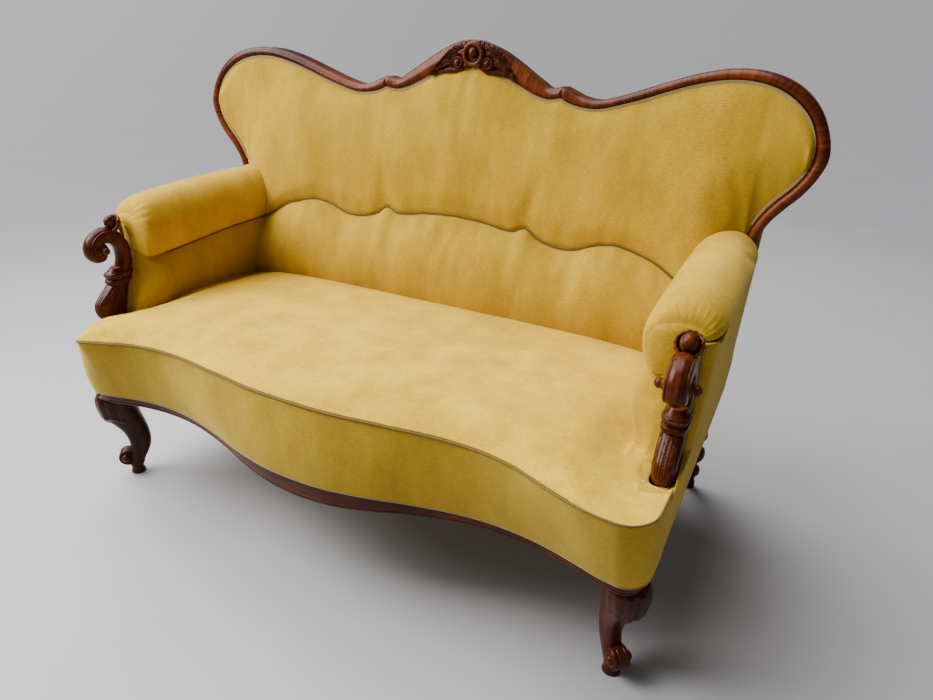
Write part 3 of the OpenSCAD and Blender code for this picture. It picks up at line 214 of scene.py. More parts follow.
# Double cord: two tubes pressed side by side, each the path moved by almost its radius along the given direction
def doubleCord(name, path, radius, aside, up, cloth, replaces=()):
    parts = []
    for k, way in enumerate((-1, 1)):
        ring = tubePoints(path + way * radius * 0.96 * aside, radius, 10, up)
        parts.append(gridPiece(f"{name}{k}", ring, cloth))
    return joined(name, parts, replaces)


def vertexPlaces(mesh):  # in metres, one row for each vertex
    co = np.empty(len(mesh.vertices) * 3, np.float32)
    mesh.vertices.foreach_get("co", co)
    return co.reshape(-1, 3)


# Each edge's two ends, taken both ways round, and how many neighbours every vertex has
def neighbours(mesh):
    ends = np.empty(len(mesh.edges) * 2, np.int32)
    mesh.edges.foreach_get("vertices", ends)
    ends = ends.reshape(-1, 2)
    a, b = np.concatenate([ends[:, 0], ends[:, 1]]), np.concatenate([ends[:, 1], ends[:, 0]])
    return a, b, np.maximum(np.bincount(a, minlength=len(mesh.vertices)), 1)


# How hollow the surface is at each vertex: how far its neighbours' middle stands out along the normal
def markHollows(piece, rounds=2):
    mesh = piece.data
    count = len(mesh.vertices)
    co = vertexPlaces(mesh)
    normal = np.empty(count * 3, np.float32)
    mesh.vertex_normals.foreach_get("vector", normal)
    normal = normal.reshape(-1, 3)
    a, b, many = neighbours(mesh)
    middle = np.stack([np.bincount(a, co[b, k], minlength=count) for k in range(3)], 1) / many[:, None]
    reach = np.bincount(a, np.linalg.norm(co[a] - co[b], axis=1), minlength=count) / many
    hollow = np.einsum("ij,ij->i", middle - co, normal) / np.maximum(reach, 1e-6)
    for _ in range(rounds):
        hollow = (hollow + np.bincount(a, hollow[b], minlength=count) / many) / 2
    layer = mesh.attributes.new("hollow", "FLOAT", "POINT")
    layer.data.foreach_set("value", np.clip(hollow, -1, 1).astype(np.float32))


# Materials

# A new material with its node tree and its main shader
def newMaterial(name):
    material = bpy.data.materials.new(name)
    material.use_nodes = True
    tree = material.node_tree
    shader = next(n for n in tree.nodes if n.type == "BSDF_PRINCIPLED")
    return material, tree, shader


# A node with its settings or sockets filled in by name
def node(tree, kind, **values):
    made = tree.nodes.new(kind)
    for key, value in values.items():
        if hasattr(made, key) and key not in made.inputs:
            setattr(made, key, value)
        else:
            made.inputs[key].default_value = value
    return made


# Colours read off a scale of [place, colour] stops
def ramp(tree, fac, stops):
    made = tree.nodes.new("ShaderNodeValToRGB")
    while len(made.color_ramp.elements) < len(stops):
        made.color_ramp.elements.new(0.5)
    for element, (place, colour) in zip(made.color_ramp.elements, stops):
        element.position = place
        element.color = (*colour, 1.0)
    tree.links.new(fac, made.inputs["Fac"])
    return made.outputs["Color"]


def mapped(tree, source, scale):  # the same coordinates, stretched
    place = node(tree, "ShaderNodeMapping", Scale=scale)
    tree.links.new(source, place.inputs["Vector"])
    return place.outputs["Vector"]


def noise(tree, vector, scale, detail=3.0, roughness=0.5):  # soft random patches between 0 and 1
    made = node(tree, "ShaderNodeTexNoise", Scale=scale, Detail=detail, Roughness=roughness)
    tree.links.new(vector, made.inputs["Vector"])
    return made.outputs["Fac"]


# Two colours blended by a factor, each a plain value or the output of another node
def blendColour(tree, fac, a, b, mode="MIX"):
    made = tree.nodes.new("ShaderNodeMix")
    made.data_type = "RGBA"
    made.blend_type = mode
    for value, key in ((fac, 0), (a, 6), (b, 7)):
        if isinstance(value, (int, float)):
            made.inputs[key].default_value = value
        elif isinstance(value, tuple):
            made.inputs[key].default_value = (*value, 1.0)
        else:
            tree.links.new(value, made.inputs[key])
    return made.outputs[2]


# One step of arithmetic on numbers or on the outputs of other nodes
def mathNode(tree, operation, a, b):
    made = tree.nodes.new("ShaderNodeMath")
    made.operation = operation
    for value, key in ((a, 0), (b, 1)):
        if isinstance(value, (int, float)):
            made.inputs[key].default_value = value
        else:
            tree.links.new(value, made.inputs[key])
    return made.outputs[0]


# Small relief in the shading alone, from a pattern of heights
def bumped(tree, shader, height, strength, distance):
    made = node(tree, "ShaderNodeBump", Strength=strength, Distance=distance)
    tree.links.new(height, made.inputs["Height"])
    tree.links.new(made.outputs["Normal"], shader.inputs["Normal"])


waveTurn = 6.28  # a wave texture's phase runs in radians

velvetLook = {
    "deep": (0.320, 0.182, 0.006), "mid": (0.440, 0.265, 0.012), "pale": (0.590, 0.385, 0.030),
    "stops": (0.36, 0.50, 0.66), "cloudStretch": (1.5, 1.5, 0.6), "cloudScale": 6.5, "ribs": 620.0,
    "sheen": 0.4, "sheenRoughness": 0.45, "sheenTint": (1.0, 0.78, 0.25), "roughness": 0.82, "gloss": 0.12,
}


# Napped cloth: a saturated colour where it is seen face on that turns pale at grazing sight. Its tone adds half a
# cloudy pattern, two fifths of a fine one and a tenth of the ribs that run across; a factor makes the whole paler or
# darker: painted light and shade
def velvetCloth(name, look, paintedLightScale=1.0):
    material, tree, shader = newMaterial(name)
    spot = tree.nodes.new("ShaderNodeTexCoord")
    cloudy = noise(tree, mapped(tree, spot.outputs["Object"], look["cloudStretch"]), look["cloudScale"], 6, 0.62)
    fine = noise(tree, mapped(tree, spot.outputs["UV"], (90, 520, 1)), 1.0, 3, 0.6)
    ribs = node(tree, "ShaderNodeTexWave", Scale=1.0, Distortion=1.6, Detail=2.0)
    ribs.bands_direction = "Y"
    tree.links.new(mapped(tree, spot.outputs["UV"], (40, look["ribs"] / waveTurn, 1)), ribs.inputs["Vector"])
    tone = mathNode(tree, "ADD", mathNode(tree, "MULTIPLY", cloudy, 0.5), mathNode(tree, "MULTIPLY", fine, 0.40))
    tone = mathNode(tree, "ADD", tone, mathNode(tree, "MULTIPLY", ribs.outputs["Fac"], 0.10))
    # Painted light and shade: the three tones are scaled paler for a lit piece and darker for a shaded one
    tones = [tuple(paintedLightScale * c for c in look[k]) for k in ("deep", "mid", "pale")]
    tree.links.new(ramp(tree, tone, list(zip(look["stops"], tones))), shader.inputs["Base Color"])
    shader.inputs["Roughness"].default_value = look["roughness"]
    shader.inputs["Specular IOR Level"].default_value = look["gloss"]
    shader.inputs["Sheen Weight"].default_value = look["sheen"]
    shader.inputs["Sheen Roughness"].default_value = look["sheenRoughness"]
    shader.inputs["Sheen Tint"].default_value = (*look["sheenTint"], 1.0)
    height = mathNode(tree, "ADD", mathNode(tree, "MULTIPLY", ribs.outputs["Fac"], 0.3),
                      mathNode(tree, "MULTIPLY", fine, 0.6))
    bumped(tree, shader, height, 0.45, 0.0006)
    return material


cordLook = {"deep": (0.16, 0.090, 0.014), "pale": (0.56, 0.41, 0.17), "strands": 1500.0, "sheen": 0.25}
pipingLook = {"deep": (0.06, 0.030, 0.003), "pale": (0.27, 0.165, 0.022), "strands": 1100.0, "sheen": 0.0}
seamLook = {"deep": (0.055, 0.026, 0.003), "pale": (0.26, 0.150, 0.020), "strands": 1500.0, "sheen": 0.0}


# Twisted strands: bands that run round the cord as they go along it
def cordMaterial(name, look):
    material, tree, shader = newMaterial(name)
    spot = tree.nodes.new("ShaderNodeTexCoord")
    wave = node(tree, "ShaderNodeTexWave", Scale=1.0, Distortion=0.6)
    wave.bands_direction = "DIAGONAL"
    strands = look["strands"] / waveTurn
    tree.links.new(mapped(tree, spot.outputs["UV"], (strands, strands, 1)), wave.inputs["Vector"])
    colour = ramp(tree, wave.outputs["Fac"],
                  [(0.0, look["deep"]), (0.4, tuple(0.6 * c for c in look["pale"])), (0.9, look["pale"])])
    tree.links.new(colour, shader.inputs["Base Color"])
    shader.inputs["Roughness"].default_value = 0.72
    shader.inputs["Sheen Weight"].default_value = look["sheen"]
    bumped(tree, shader, wave.outputs["Fac"], 0.8, 0.001)
    return material


walnutLook = {
    "dark": (0.010, 0.0016, 0.0008), "mid": (0.055, 0.0100, 0.0022), "warm": (0.150, 0.0310, 0.0055),
    "bright": (0.250, 0.0620, 0.0110), "rubbed": (0.150, 0.0330, 0.0065), "patches": 5.0,
    "roughness": 0.24, "gloss": 0.11, "coat": 0.07, "coatRoughness": 0.10,
    # hollows: how hollow the carving must be to take the near-black painted shade, from none to all; ridges: how
    # raised, for the rubbed colour
    "hollows": {"From Min": 0.02, "From Max": 0.22}, "ridges": {"From Min": -0.05, "From Max": -0.32},
}


# Polished walnut: fine lines of grain and broad patches, about half of each, set the colour and the lines the
# roughness; on carving, hollows are painted near-black as shade and ridges are rubbed
def walnutWood(name, look, source, grain, spread, carved=False):
    material, tree, shader = newMaterial(name)
    spot = tree.nodes.new("ShaderNodeTexCoord")
    lines = noise(tree, mapped(tree, spot.outputs[source], grain), 9.0, 6, 0.62)
    broad = noise(tree, mapped(tree, spot.outputs["Object"], (1, 1, 1)), look["patches"], 3, 0.5)
    tone = mathNode(tree, "ADD", mathNode(tree, "MULTIPLY", lines, 0.55), mathNode(tree, "MULTIPLY", broad, 0.5))
    colour = ramp(tree, tone, list(zip(spread, (look[k] for k in ("dark", "mid", "warm", "bright")))))
    rough = mathNode(tree, "ADD", look["roughness"], mathNode(tree, "MULTIPLY", lines, 0.16))
    if carved:
        hollow = tree.nodes.new("ShaderNodeAttribute")
        hollow.attribute_name = "hollow"
        # Painted shade: the more hollow the carving, the nearer its colour is blended to near-black
        hollowShade = node(tree, "ShaderNodeMapRange", **look["hollows"])
        tree.links.new(hollow.outputs["Fac"], hollowShade.inputs["Value"])
        rubbed = node(tree, "ShaderNodeMapRange", **look["ridges"])
        tree.links.new(hollow.outputs["Fac"], rubbed.inputs["Value"])
        colour = blendColour(tree, rubbed.outputs[0], colour, look["rubbed"])
        colour = blendColour(tree, hollowShade.outputs[0], colour, look["dark"])
    tree.links.new(colour, shader.inputs["Base Color"])
    tree.links.new(rough, shader.inputs["Roughness"])
    shader.inputs["Specular IOR Level"].default_value = look["gloss"]
    shader.inputs["Coat Weight"].default_value = look["coat"]
    shader.inputs["Coat Roughness"].default_value = look["coatRoughness"]
    bumped(tree, shader, lines, 0.12, 0.0006)
    return material


# Unpolished wood: long streaks of grain between two colours
def plainWood(name, pale, dark):
    material, tree, shader = newMaterial(name)
    spot = tree.nodes.new("ShaderNodeTexCoord")
    lines = noise(tree, mapped(tree, spot.outputs["Object"], (2, 26, 26)), 4.0, 5, 0.6)
    tree.links.new(ramp(tree, lines, [(0.32, dark), (0.7, pale)]), shader.inputs["Base Color"])
    shader.inputs["Roughness"].default_value = 0.62
    bumped(tree, shader, lines, 0.2, 0.001)
    return material


# Linen: the mean of two finely drawn-out patterns, one along the warp and one along the weft
def wovenLinen(name, pale, dark):
    material, tree, shader = newMaterial(name)
    spot = tree.nodes.new("ShaderNodeTexCoord")
    warp = noise(tree, mapped(tree, spot.outputs["Object"], (40, 900, 40)), 1.0, 2, 0.5)
    weft = noise(tree, mapped(tree, spot.outputs["Object"], (900, 40, 40)), 1.0, 2, 0.5)
    weave = mathNode(tree, "ADD", mathNode(tree, "MULTIPLY", warp, 0.5), mathNode(tree, "MULTIPLY", weft, 0.5))
    tree.links.new(ramp(tree, weave, [(0.35, dark), (0.65, pale)]), shader.inputs["Base Color"])
    shader.inputs["Roughness"].default_value = 0.95
    bumped(tree, shader, weave, 0.4, 0.0006)
    return material


# Old spring wire: dull steel with brown spots
def springSteel(name):
    material, tree, shader = newMaterial(name)
    spot = tree.nodes.new("ShaderNodeTexCoord")
    spots = noise(tree, mapped(tree, spot.outputs["Object"], (60, 60, 60)), 1.0, 4, 0.6)
    colour = ramp(tree, spots, [(0.4, (0.20, 0.19, 0.18)), (0.62, (0.42, 0.40, 0.38)), (0.8, (0.30, 0.17, 0.10))])
    tree.links.new(colour, shader.inputs["Base Color"])
    shader.inputs["Metallic"].default_value = 0.85
    shader.inputs["Roughness"].default_value = 0.42
    return material


# One velvet, with paler copies for the lit seat and rolls and darker ones for the pads and border: painted light and
# shade
velvet = velvetCloth("oldGoldVelvet", velvetLook)
seatVelvetPaintedLit = velvetCloth("seatVelvetPaintedLit", velvetLook, 1.38)
rollVelvetPaintedLit = velvetCloth("rollVelvetPaintedLit", velvetLook, 1.15)
padVelvetPaintedShade = velvetCloth("padVelvetPaintedShade", velvetLook, 0.9)
borderVelvetPaintedShade = velvetCloth("borderVelvetPaintedShade", velvetLook, 0.95)
stainedBeech = plainWood("stainedBeech", (0.075, 0.020, 0.008), (0.030, 0.008, 0.004))
cordCloth = cordMaterial("twistedCord", cordLook)
seamCloth = cordMaterial("stitchedSeam", seamLook)
pipingCloth = cordMaterial("dashedPiping", pipingLook)
bandedWalnut = walnutWood("crossBandedWalnut", walnutLook, "UV", (16, 1.2, 1), (0.30, 0.46, 0.62, 0.84))
turnedWalnut = walnutWood("turnedWalnut", walnutLook, "Object", (14, 14, 2.2), (0.34, 0.55, 0.76, 0.98))
carvedWalnut = walnutWood("carvedWalnut", walnutLook, "Object", (10, 10, 3), (0.34, 0.54, 0.74, 0.98), carved=True)
railWalnut = walnutWood("railWalnut", walnutLook, "Object", (1.6, 8, 16), (0.30, 0.5, 0.7, 0.9))
beechWood = plainWood("beech", (0.62, 0.45, 0.27), (0.40, 0.26, 0.14))
linenCloth = wovenLinen("linen", (0.50, 0.43, 0.30), (0.28, 0.23, 0.15))
wireSteel = springSteel("springSteel")

# The hidden nodes keep their solids and get a finish
cadFinish = [
    (stainedBeech, ["left_seat_rail", "right_seat_rail"]),
    (beechWood, ["rear_seat_rail", "corner_blocks", "seat_cross_rail", "left_back_post", "right_back_post",
                 "lower_back_rail", "back_slats", "left_arm_stump", "right_arm_stump", "left_arm_rail",
                 "right_arm_rail", "left_tacking_rail", "right_tacking_rail"]),
    (linenCloth, ["seat_webbing", "spring_canvas", "seat_stuffing", "back_canvas", "bottom_cover"]),
    (wireSteel, ["seat_springs"]),
]
for material, names in cadFinish:
    for name in names:
        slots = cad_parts[name].material_slots
        if not slots:
            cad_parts[name].data.materials.append(material)
        for place in slots:
            place.material = material
print("materials made")

# Camera, light and floor

studio = {
    "cameraAt": (0.893514, -1.276637, 1.172357), "pitch": 63.4918, "yaw": 28.8387, "lens": 27.85, "sensor": 36.0,
    "air": (0.80, 0.80, 0.82), "airStrength": 0.17,
    "sunFrom": (-0.62, 0.08, 1.0), "sunSpread": 64.0, "sunEnergy": 6.0,
    "lampAt": (-1.75, -1.1, 2.1), "lampTo": (-0.2, 0.1, 0.6), "lampSize": 1.5, "lampEnergy": 100.0,
    # floorNear and floorFar, blended by fade over the distance from the middle, paint a pool of light on the floor
    "floorHalf": 150.0, "floorNear": (0.385, 0.377, 0.380), "floorFar": (0.250, 0.248, 0.262),
    "fade": {"From Min": 1.1, "From Max": 3.4, "To Min": 0.0, "To Max": 1.0},
}


def placed(name, data):  # a new object in the scene
    holder = bpy.data.objects.new(name, data)
    bpy.context.scene.collection.objects.link(holder)
    return holder


camera = placed("camera", bpy.data.cameras.new("camera"))
camera.location = studio["cameraAt"]
camera.rotation_euler = (math.radians(studio["pitch"]), 0.0, math.radians(studio["yaw"]))
camera.data.lens = studio["lens"]
camera.data.sensor_width = studio["sensor"]
camera.data.sensor_fit = "HORIZONTAL"
bpy.context.scene.camera = camera

world = bpy.data.worlds.new("studio")
world.use_nodes = True
world.node_tree.nodes["Background"].inputs["Color"].default_value = (*studio["air"], 1.0)
world.node_tree.nodes["Background"].inputs["Strength"].default_value = studio["airStrength"]
bpy.context.scene.world = world

# Wide soft light from above and the left arm's side
sun = bpy.data.lights.new("softSun", "SUN")
sun.angle = math.radians(studio["sunSpread"])
sun.energy = studio["sunEnergy"]
fromX, fromY, fromZ = studio["sunFrom"]
placed("softSun", sun).rotation_euler = (math.atan2(math.hypot(fromX, fromY), fromZ), 0.0,
                                         math.atan2(fromY, fromX) + math.pi / 2)

# A smaller lamp at the left front, for the gleam on the polish
lamp = bpy.data.lights.new("window", "AREA")
lamp.size = studio["lampSize"]
lamp.energy = studio["lampEnergy"]
window = placed("window", lamp)
window.location = studio["lampAt"]
way = np.array(studio["lampTo"]) - np.array(window.location)
window.rotation_euler = (math.atan2(math.hypot(way[0], way[1]), -way[2]), 0.0, math.atan2(way[1], way[0]) - math.pi / 2)

# The floor is painted paler where the sofa stands and greyer away from it: a painted pool of light falling off
wide = studio["floorHalf"]
floorMesh = bpy.data.meshes.new("floor")
floorMesh.from_pydata([(-wide, -wide, 0), (wide, -wide, 0), (wide, wide, 0), (-wide, wide, 0)], [], [(0, 1, 2, 3)])
floor = placed("floor", floorMesh)
floorMaterial, floorTree, floorShader = newMaterial("paleFloor")
floorSpot = floorTree.nodes.new("ShaderNodeTexCoord")
floorTone = noise(floorTree, mapped(floorTree, floorSpot.outputs["Object"], (1, 1, 1)), 3.0, 6, 0.6)
floorAway = floorTree.nodes.new("ShaderNodeVectorMath")
floorAway.operation = "LENGTH"
floorTree.links.new(floorSpot.outputs["Object"], floorAway.inputs[0])
floorLightFade = node(floorTree, "ShaderNodeMapRange", **studio["fade"])
floorTree.links.new(floorAway.outputs["Value"], floorLightFade.inputs["Value"])
floorPaintedPool = ramp(floorTree, floorLightFade.outputs[0], [(0.0, studio["floorNear"]), (1.0, studio["floorFar"])])
floorSpeck = ramp(floorTree, floorTone, [(0.3, (0.94, 0.94, 0.94)), (0.7, (1.0, 1.0, 1.0))])
floorTree.links.new(blendColour(floorTree, 1.0, floorPaintedPool, floorSpeck, "MULTIPLY"), floorShader.inputs["Base Color"])
floorShader.inputs["Roughness"].default_value = 0.6
floorMesh.materials.append(floorMaterial)
print("camera, light and floor set")

# Lines of the sofa, shared by its pieces

seatEdge = {
    "piping": [[0, 0.53], [0.08, 0.55], [0.16, 0.6], [0.25, 0.73], [0.33, 0.83], [0.41, 0.94], [0.49, 0.99],
               [0.57, 0.96], [0.66, 0.78], [0.74, 0.46], [0.82, 0.17], [0.88, 0.04], [0.925, 0]],
    "foot": [[0, 0.31], [0.08, 0.34], [0.16, 0.46], [0.25, 0.67], [0.33, 0.91], [0.41, 1.11], [0.49, 1.27],
             [0.57, 1.35], [0.66, 1.33], [0.74, 1.21], [0.82, 1.01], [0.88, 0.84], [0.925, 0.77]],
    "apron": [[0, 1], [0.16, 0.8], [0.33, 0.36], [0.49, 0.1], [0.66, 0.02], [1, 0]],
    "bow": 70.0, "corner": 0.925, "frontY": -420.6, "sideEnd": -302.0, "pipingHalf": 732.0, "footHalf": 724.0,
    "footZ": 283.0, "apronDrop": 26.0, "coverT": 12.3, "railT": 32.0, "frontSteps": 90, "cornerSteps": 20,
    "cornerEnd": 0.975, "draw": 56.0, "footDraw": 25.2,
    "drawAcross": [[0, 0], [0.74, 0], [0.82, 0.14], [0.88, 0.46], [0.925, 0.73], [0.945, 0.75], [0.965, 0.63],
                   [0.975, 0.46], [1, 0.18]],
    "drawBack": [[0, 0], [0.74, 0], [0.82, 0.02], [0.88, 0.18], [0.925, 0.31], [0.945, 0.49], [0.965, 0.65],
                 [0.975, 0.77], [1, 0.8]],
}


# Plan of the seat's edge: the serpentine drawn in square to itself, a round corner, and the start of the side
def edgeHalf(table, halfW, inset):
    e = seatEdge
    bend = e["corner"] * sofa["seatHalf"]
    s = np.linspace(0, e["corner"], e["frontSteps"])
    x, y = s * sofa["seatHalf"], e["frontY"] + e["bow"] * follow(table, s)
    dx, dy = np.gradient(x), np.gradient(y)
    dy[0] = 0
    fade = s < e["corner"] * 0.999
    length = np.hypot(dx, dy)
    nx, ny = -dy / length * fade, np.where(fade, dx / length, 1.0)
    frontPart = np.stack([x + nx * inset, y + ny * inset], 1)
    reach = halfW - bend
    a = np.radians(np.linspace(0, 90, e["cornerSteps"] + 1)[1:])
    bendY = e["frontY"] + e["bow"] * table[-1][1]
    corner = np.stack([bend + (reach - inset) * np.sin(a), bendY + reach - (reach - inset) * np.cos(a)], 1)
    side = np.stack([np.full(6, halfW - inset), np.linspace(corner[-1, 1], e["sideEnd"], 7)[1:]], 1)
    return np.vstack([frontPart, corner, side])


# The slacker left corner: each point of a half plan moves in by its share of the draw, across and back
def drawnIn(half, draw):
    e = seatEdge
    place = np.concatenate([np.linspace(0, e["corner"], e["frontSteps"]),
                            np.linspace(e["corner"], e["cornerEnd"], e["cornerSteps"] + 1)[1:],
                            np.linspace(e["cornerEnd"], 1, 7)[1:]])
    back = draw / e["draw"] * follow(e["drawBack"], place)
    return np.stack([half[:, 0] - draw * follow(e["drawAcross"], place), lerp(half[:, 1], e["sideEnd"], back)], 1)


# The whole plan: the right half as it is, and its mirrored copy with the slack corner drawn in
def edgePlan(table, halfW, inset, draw):
    right = edgeHalf(table, halfW, inset)
    return np.vstack([drawnIn(right, draw)[:0:-1] * [-1, 1], right])


backShape = {
    "rake": 0.134, "sweep": 48.0, "topY": 381.0, "frameD": 42.0, "steps": 10,
    "crest": [[0, 0.824, 0, 1], [0.029, 0.854, 0.029, 0.997], [0.051, 0.824, 0.058, 0.981],
              [0.075, 0.822, 0.09, 0.952], [0.109, 0.795, 0.122, 0.915], [0.145, 0.758, 0.156, 0.87],
              [0.182, 0.721, 0.19, 0.822], [0.218, 0.689, 0.223, 0.777], [0.257, 0.673, 0.252, 0.741],
              [0.293, 0.686, 0.295, 0.757]],
    "lobe": [[0.293, 0.686, 0.295, 0.757], [0.317, 0.662, 0.322, 0.734], [0.354, 0.644, 0.356, 0.705],
             [0.406, 0.641, 0.402, 0.694], [0.466, 0.673, 0.46, 0.723], [0.533, 0.718, 0.525, 0.771],
             [0.599, 0.769, 0.591, 0.822], [0.666, 0.814, 0.661, 0.87], [0.732, 0.843, 0.731, 0.902],
             [0.793, 0.846, 0.799, 0.907], [0.85, 0.822, 0.862, 0.88], [0.898, 0.771, 0.916, 0.824],
             [0.937, 0.694, 0.96, 0.734], [0.96, 0.598, 0.989, 0.62], [0.965, 0.505, 1, 0.505],
             [0.954, 0.412, 0.987, 0.404], [0.93, 0.332, 0.959, 0.301], [0.898, 0.253, 0.926, 0.218],
             [0.87, 0.165, 0.898, 0.138], [0.852, 0.074, 0.881, 0.059], [0.847, 0, 0.877, 0]],
}


# The back leans away by a share of the height and sweeps forward by the square of the distance from its middle
def backFace(x, z):
    b = backShape
    return b["topY"] - b["rake"] * (sofa["crestZ"] - z) - b["sweep"] * (x / sofa["backHalf"]) ** 2


# From shares of the back's half width and of its rise over the arms to millimetres
def sharePoint(x, z):
    return x * sofa["backHalf"], sofa["jointZ"] + z * sofa["backRise"]


crestLine = lineThrough(backShape["crest"], backShape["steps"])
lobeLine = lineThrough(backShape["lobe"], backShape["steps"])
crestInner = np.stack(sharePoint(crestLine[:, 0], crestLine[:, 1]), 1)
lobeInner = np.stack(sharePoint(lobeLine[:, 0], lobeLine[:, 1]), 1)
widest = int(np.argmax(lobeInner[:, 0]))
innerTop = np.vstack([crestInner[:-1], lobeInner[:widest + 1]])
lobeUnder = lobeInner[widest:][::-1]


# Upper and lower edge of the padding, read off the frame's inner line
def topZ(x):
    return np.interp(np.abs(x), innerTop[:, 0], innerTop[:, 1])


def underZ(x):
    return np.interp(np.abs(x), lobeUnder[:, 0], lobeUnder[:, 1])


# Moulded back frame

moulding = {
    # Each point is a share across the face and a height over the cover's edge
    "face": [[0, -2.0], [0.0, 0.5], [0.03, 3.0], [0.07, 4.2], [0.11, 4.0], [0.135, 2.6], [0.16, 3.2], [0.21, 6.2],
             [0.29, 8.2], [0.38, 9.4], [0.48, 9.8], [0.58, 9.4], [0.68, 8.2], [0.77, 6.4], [0.85, 4.2], [0.9, 2.4],
             [0.925, 1.6], [0.95, 2.0], [0.985, 1.0], [1, -2.5]],
    "rear": [[1.0, -5.0], [0.955, -9.0], [0.93, -14.0], [0.9, -30.0], [0.86, -42.0], [0.08, -42.0]],
    "earAt": 243.0, "earZ": 900.0, "earWide": 12.0, "earHigh": 3.2, "creaseWide": 2.4, "creaseDeep": 4.2,
}


# The moulding's section is carried along the paired inner and outer lines; at the ears it swells and is creased
def mouldingPoints(line, way):
    face = np.array(moulding["face"])
    rear = np.array(moulding["rear"])
    share = np.concatenate([face[:, 0], rear[:, 0]])
    high = np.concatenate([face[:, 1], rear[:, 1]])
    onFace = np.concatenate([clamp(face[:, 1] / 9.0), np.zeros(len(rear))])
    ax, az = sharePoint(line[:, 0], line[:, 1])
    bx, bz = sharePoint(line[:, 2], line[:, 3])
    x = lerp(ax[:, None], bx[:, None], share[None, :])
    z = lerp(az[:, None], bz[:, None], share[None, :])
    far = np.abs(ax)[:, None] - moulding["earAt"]
    nearEar = np.exp(-(far / moulding["earWide"]) ** 2) * (az[:, None] > moulding["earZ"])
    crease = np.exp(-(far / moulding["creaseWide"]) ** 2) * (az[:, None] > moulding["earZ"])
    rise = high[None, :] + onFace[None, :] * (moulding["earHigh"] * nearEar - moulding["creaseDeep"] * crease)
    return np.stack([way * x, backFace(x, z) - rise, z], axis=-1)


crestRows = np.vstack([crestLine[:0:-1] * [-1, 1, -1, 1], crestLine])
gridPiece("crestMoulding", mouldingPoints(crestRows, 1), bandedWalnut, smooth=50, replaces=["crest_frame"])
for side, word in ((-1, "left"), (1, "right")):
    gridPiece(f"{word}LobeMoulding", mouldingPoints(lobeLine, side), bandedWalnut, smooth=50,
              replaces=[f"{word}_back_frame"])
print("back frame made")

# Back pads and the cords round them

backPads = {
    "seam": [[0, 0.82], [0.1, 0.7], [0.165, 0.5], [0.205, 0.46], [0.243, 0.74], [0.278, 0.3], [0.315, 0.04],
             [0.36, -0.08], [0.404, 0.0], [0.45, 0.36], [0.485, 0.56], [0.53, 0.64], [0.585, 0.42], [0.646, 0],
             [0.705, -0.7], [0.78, -1.3], [0.9, -1.7]],
    "seamZ": 627.0, "wave": 40.0, "forward": 46.0, "crown": 22.0, "lobeCrown": 15.0, "edgeRise": 2.0,
    "fade": (0.72, 0.87), "side": 669.0, "thick": 12.0, "low": 403.0, "depth": 90.0,
    "lower": [[0, 0.78], [0.14, 0.86], [0.3, 0.97], [0.5, 1], [0.7, 0.9], [0.85, 0.72], [1, 0.51]],
    "upperRows": 56, "lowerRows": 44, "columnGap": 9.0, "roll": 15.0, "rollReach": 34.0, "tuckReach": 8.0,
    "cap": 5.0, "pressure": 4.0, "pull": 7.0, "pullX": 204.0, "pullWide": 36.0, "pullUp": 14.0, "pullHigh": 24.0,
    "endFrom": 634.0, "endRun": 56.0, "lap": 44.0, "tip": 22.0, "pleat": 8.3,
}
lobeStart = float(lobeInner[-1, 0])


# Height of the waved seam between the pads
def seamAt(x):
    return backPads["seamZ"] + backPads["wave"] * follow(backPads["seam"], np.abs(x) / sofa["backHalf"])


# Lower edge of the upper pad: the seam, eased up to the arms' joint, then the lobe's lower edge
def upperLow(x):
    ax = np.abs(x)
    eased = lerp(seamAt(x), sofa["jointZ"] + 0.4, ease((ax - backPads["endFrom"]) / backPads["endRun"]))
    return np.where(ax < lobeStart + 0.4, eased, underZ(x) + 0.4)


# Height of the upper pad over the back: a taper up from the seam plus a sine crown between its edges, a plain sine
# crown in the lobes, less a round pull over each cusp of the seam
def upperForward(x, v):
    p = backPads
    a, b = p["fade"]
    fade = 1 - ease((np.abs(x) / sofa["backHalf"] - a) / (b - a))
    arch = np.sin(np.pi * clamp(v))
    full = (p["forward"] - p["edgeRise"]) * (1 - v) ** 1.2 + p["crown"] * np.maximum(arch, 0) ** 0.8
    lobe = p["lobeCrown"] * clamp((topZ(x) - upperLow(x)) / 84) * arch
    rise = v * (topZ(x) - upperLow(x))
    aside, above = (np.abs(x) - p["pullX"]) / p["pullWide"], (rise - p["pullUp"]) / p["pullHigh"]
    pull = p["pull"] * np.exp(-aside**2 - above**2)
    return p["edgeRise"] + fade * full + (1 - fade) * lobe - pull


# Height of the lower pad over the back, read off its profile between the seat and the seam
def lowerForward(x, z):
    w = clamp((z - backPads["low"]) / (seamAt(x) - backPads["low"]))
    return backPads["depth"] * follow(backPads["lower"], w)


# Soft swell beside the sewn seam: a long falling curve less a short one, which leaves a tight tuck at the stitches
def seamSwell(distance):
    p = backPads
    return p["roll"] * (np.exp(-distance / p["rollReach"]) - np.exp(-distance / p["tuckReach"]))


# The pads' faces: the back's own face less the height of the pad
def upperFace(x, z):
    low = upperLow(x)
    v = clamp((z - low) / (topZ(x) - low))
    return backFace(x, z) - upperForward(x, v)


def lowerFace(x, z):
    return backFace(x, z) - lowerForward(x, z)


# Both pads as one face: whichever stands further forward near the seam
def padsFace(x, z):
    return np.where(z > seamAt(x) + backPads["lap"], upperFace(x, z),
                    np.where(z > seamAt(x), np.minimum(upperFace(x, z), lowerFace(x, z)), lowerFace(x, z)))


plumping = {
    "frames": 20, "quality": 5, "mass": 0.4, "stretch": 12.0, "shear": 6.0, "bend": 0.6, "smoothings": 4,
    "slack": 0.012, "armSlack": 0.006,
}


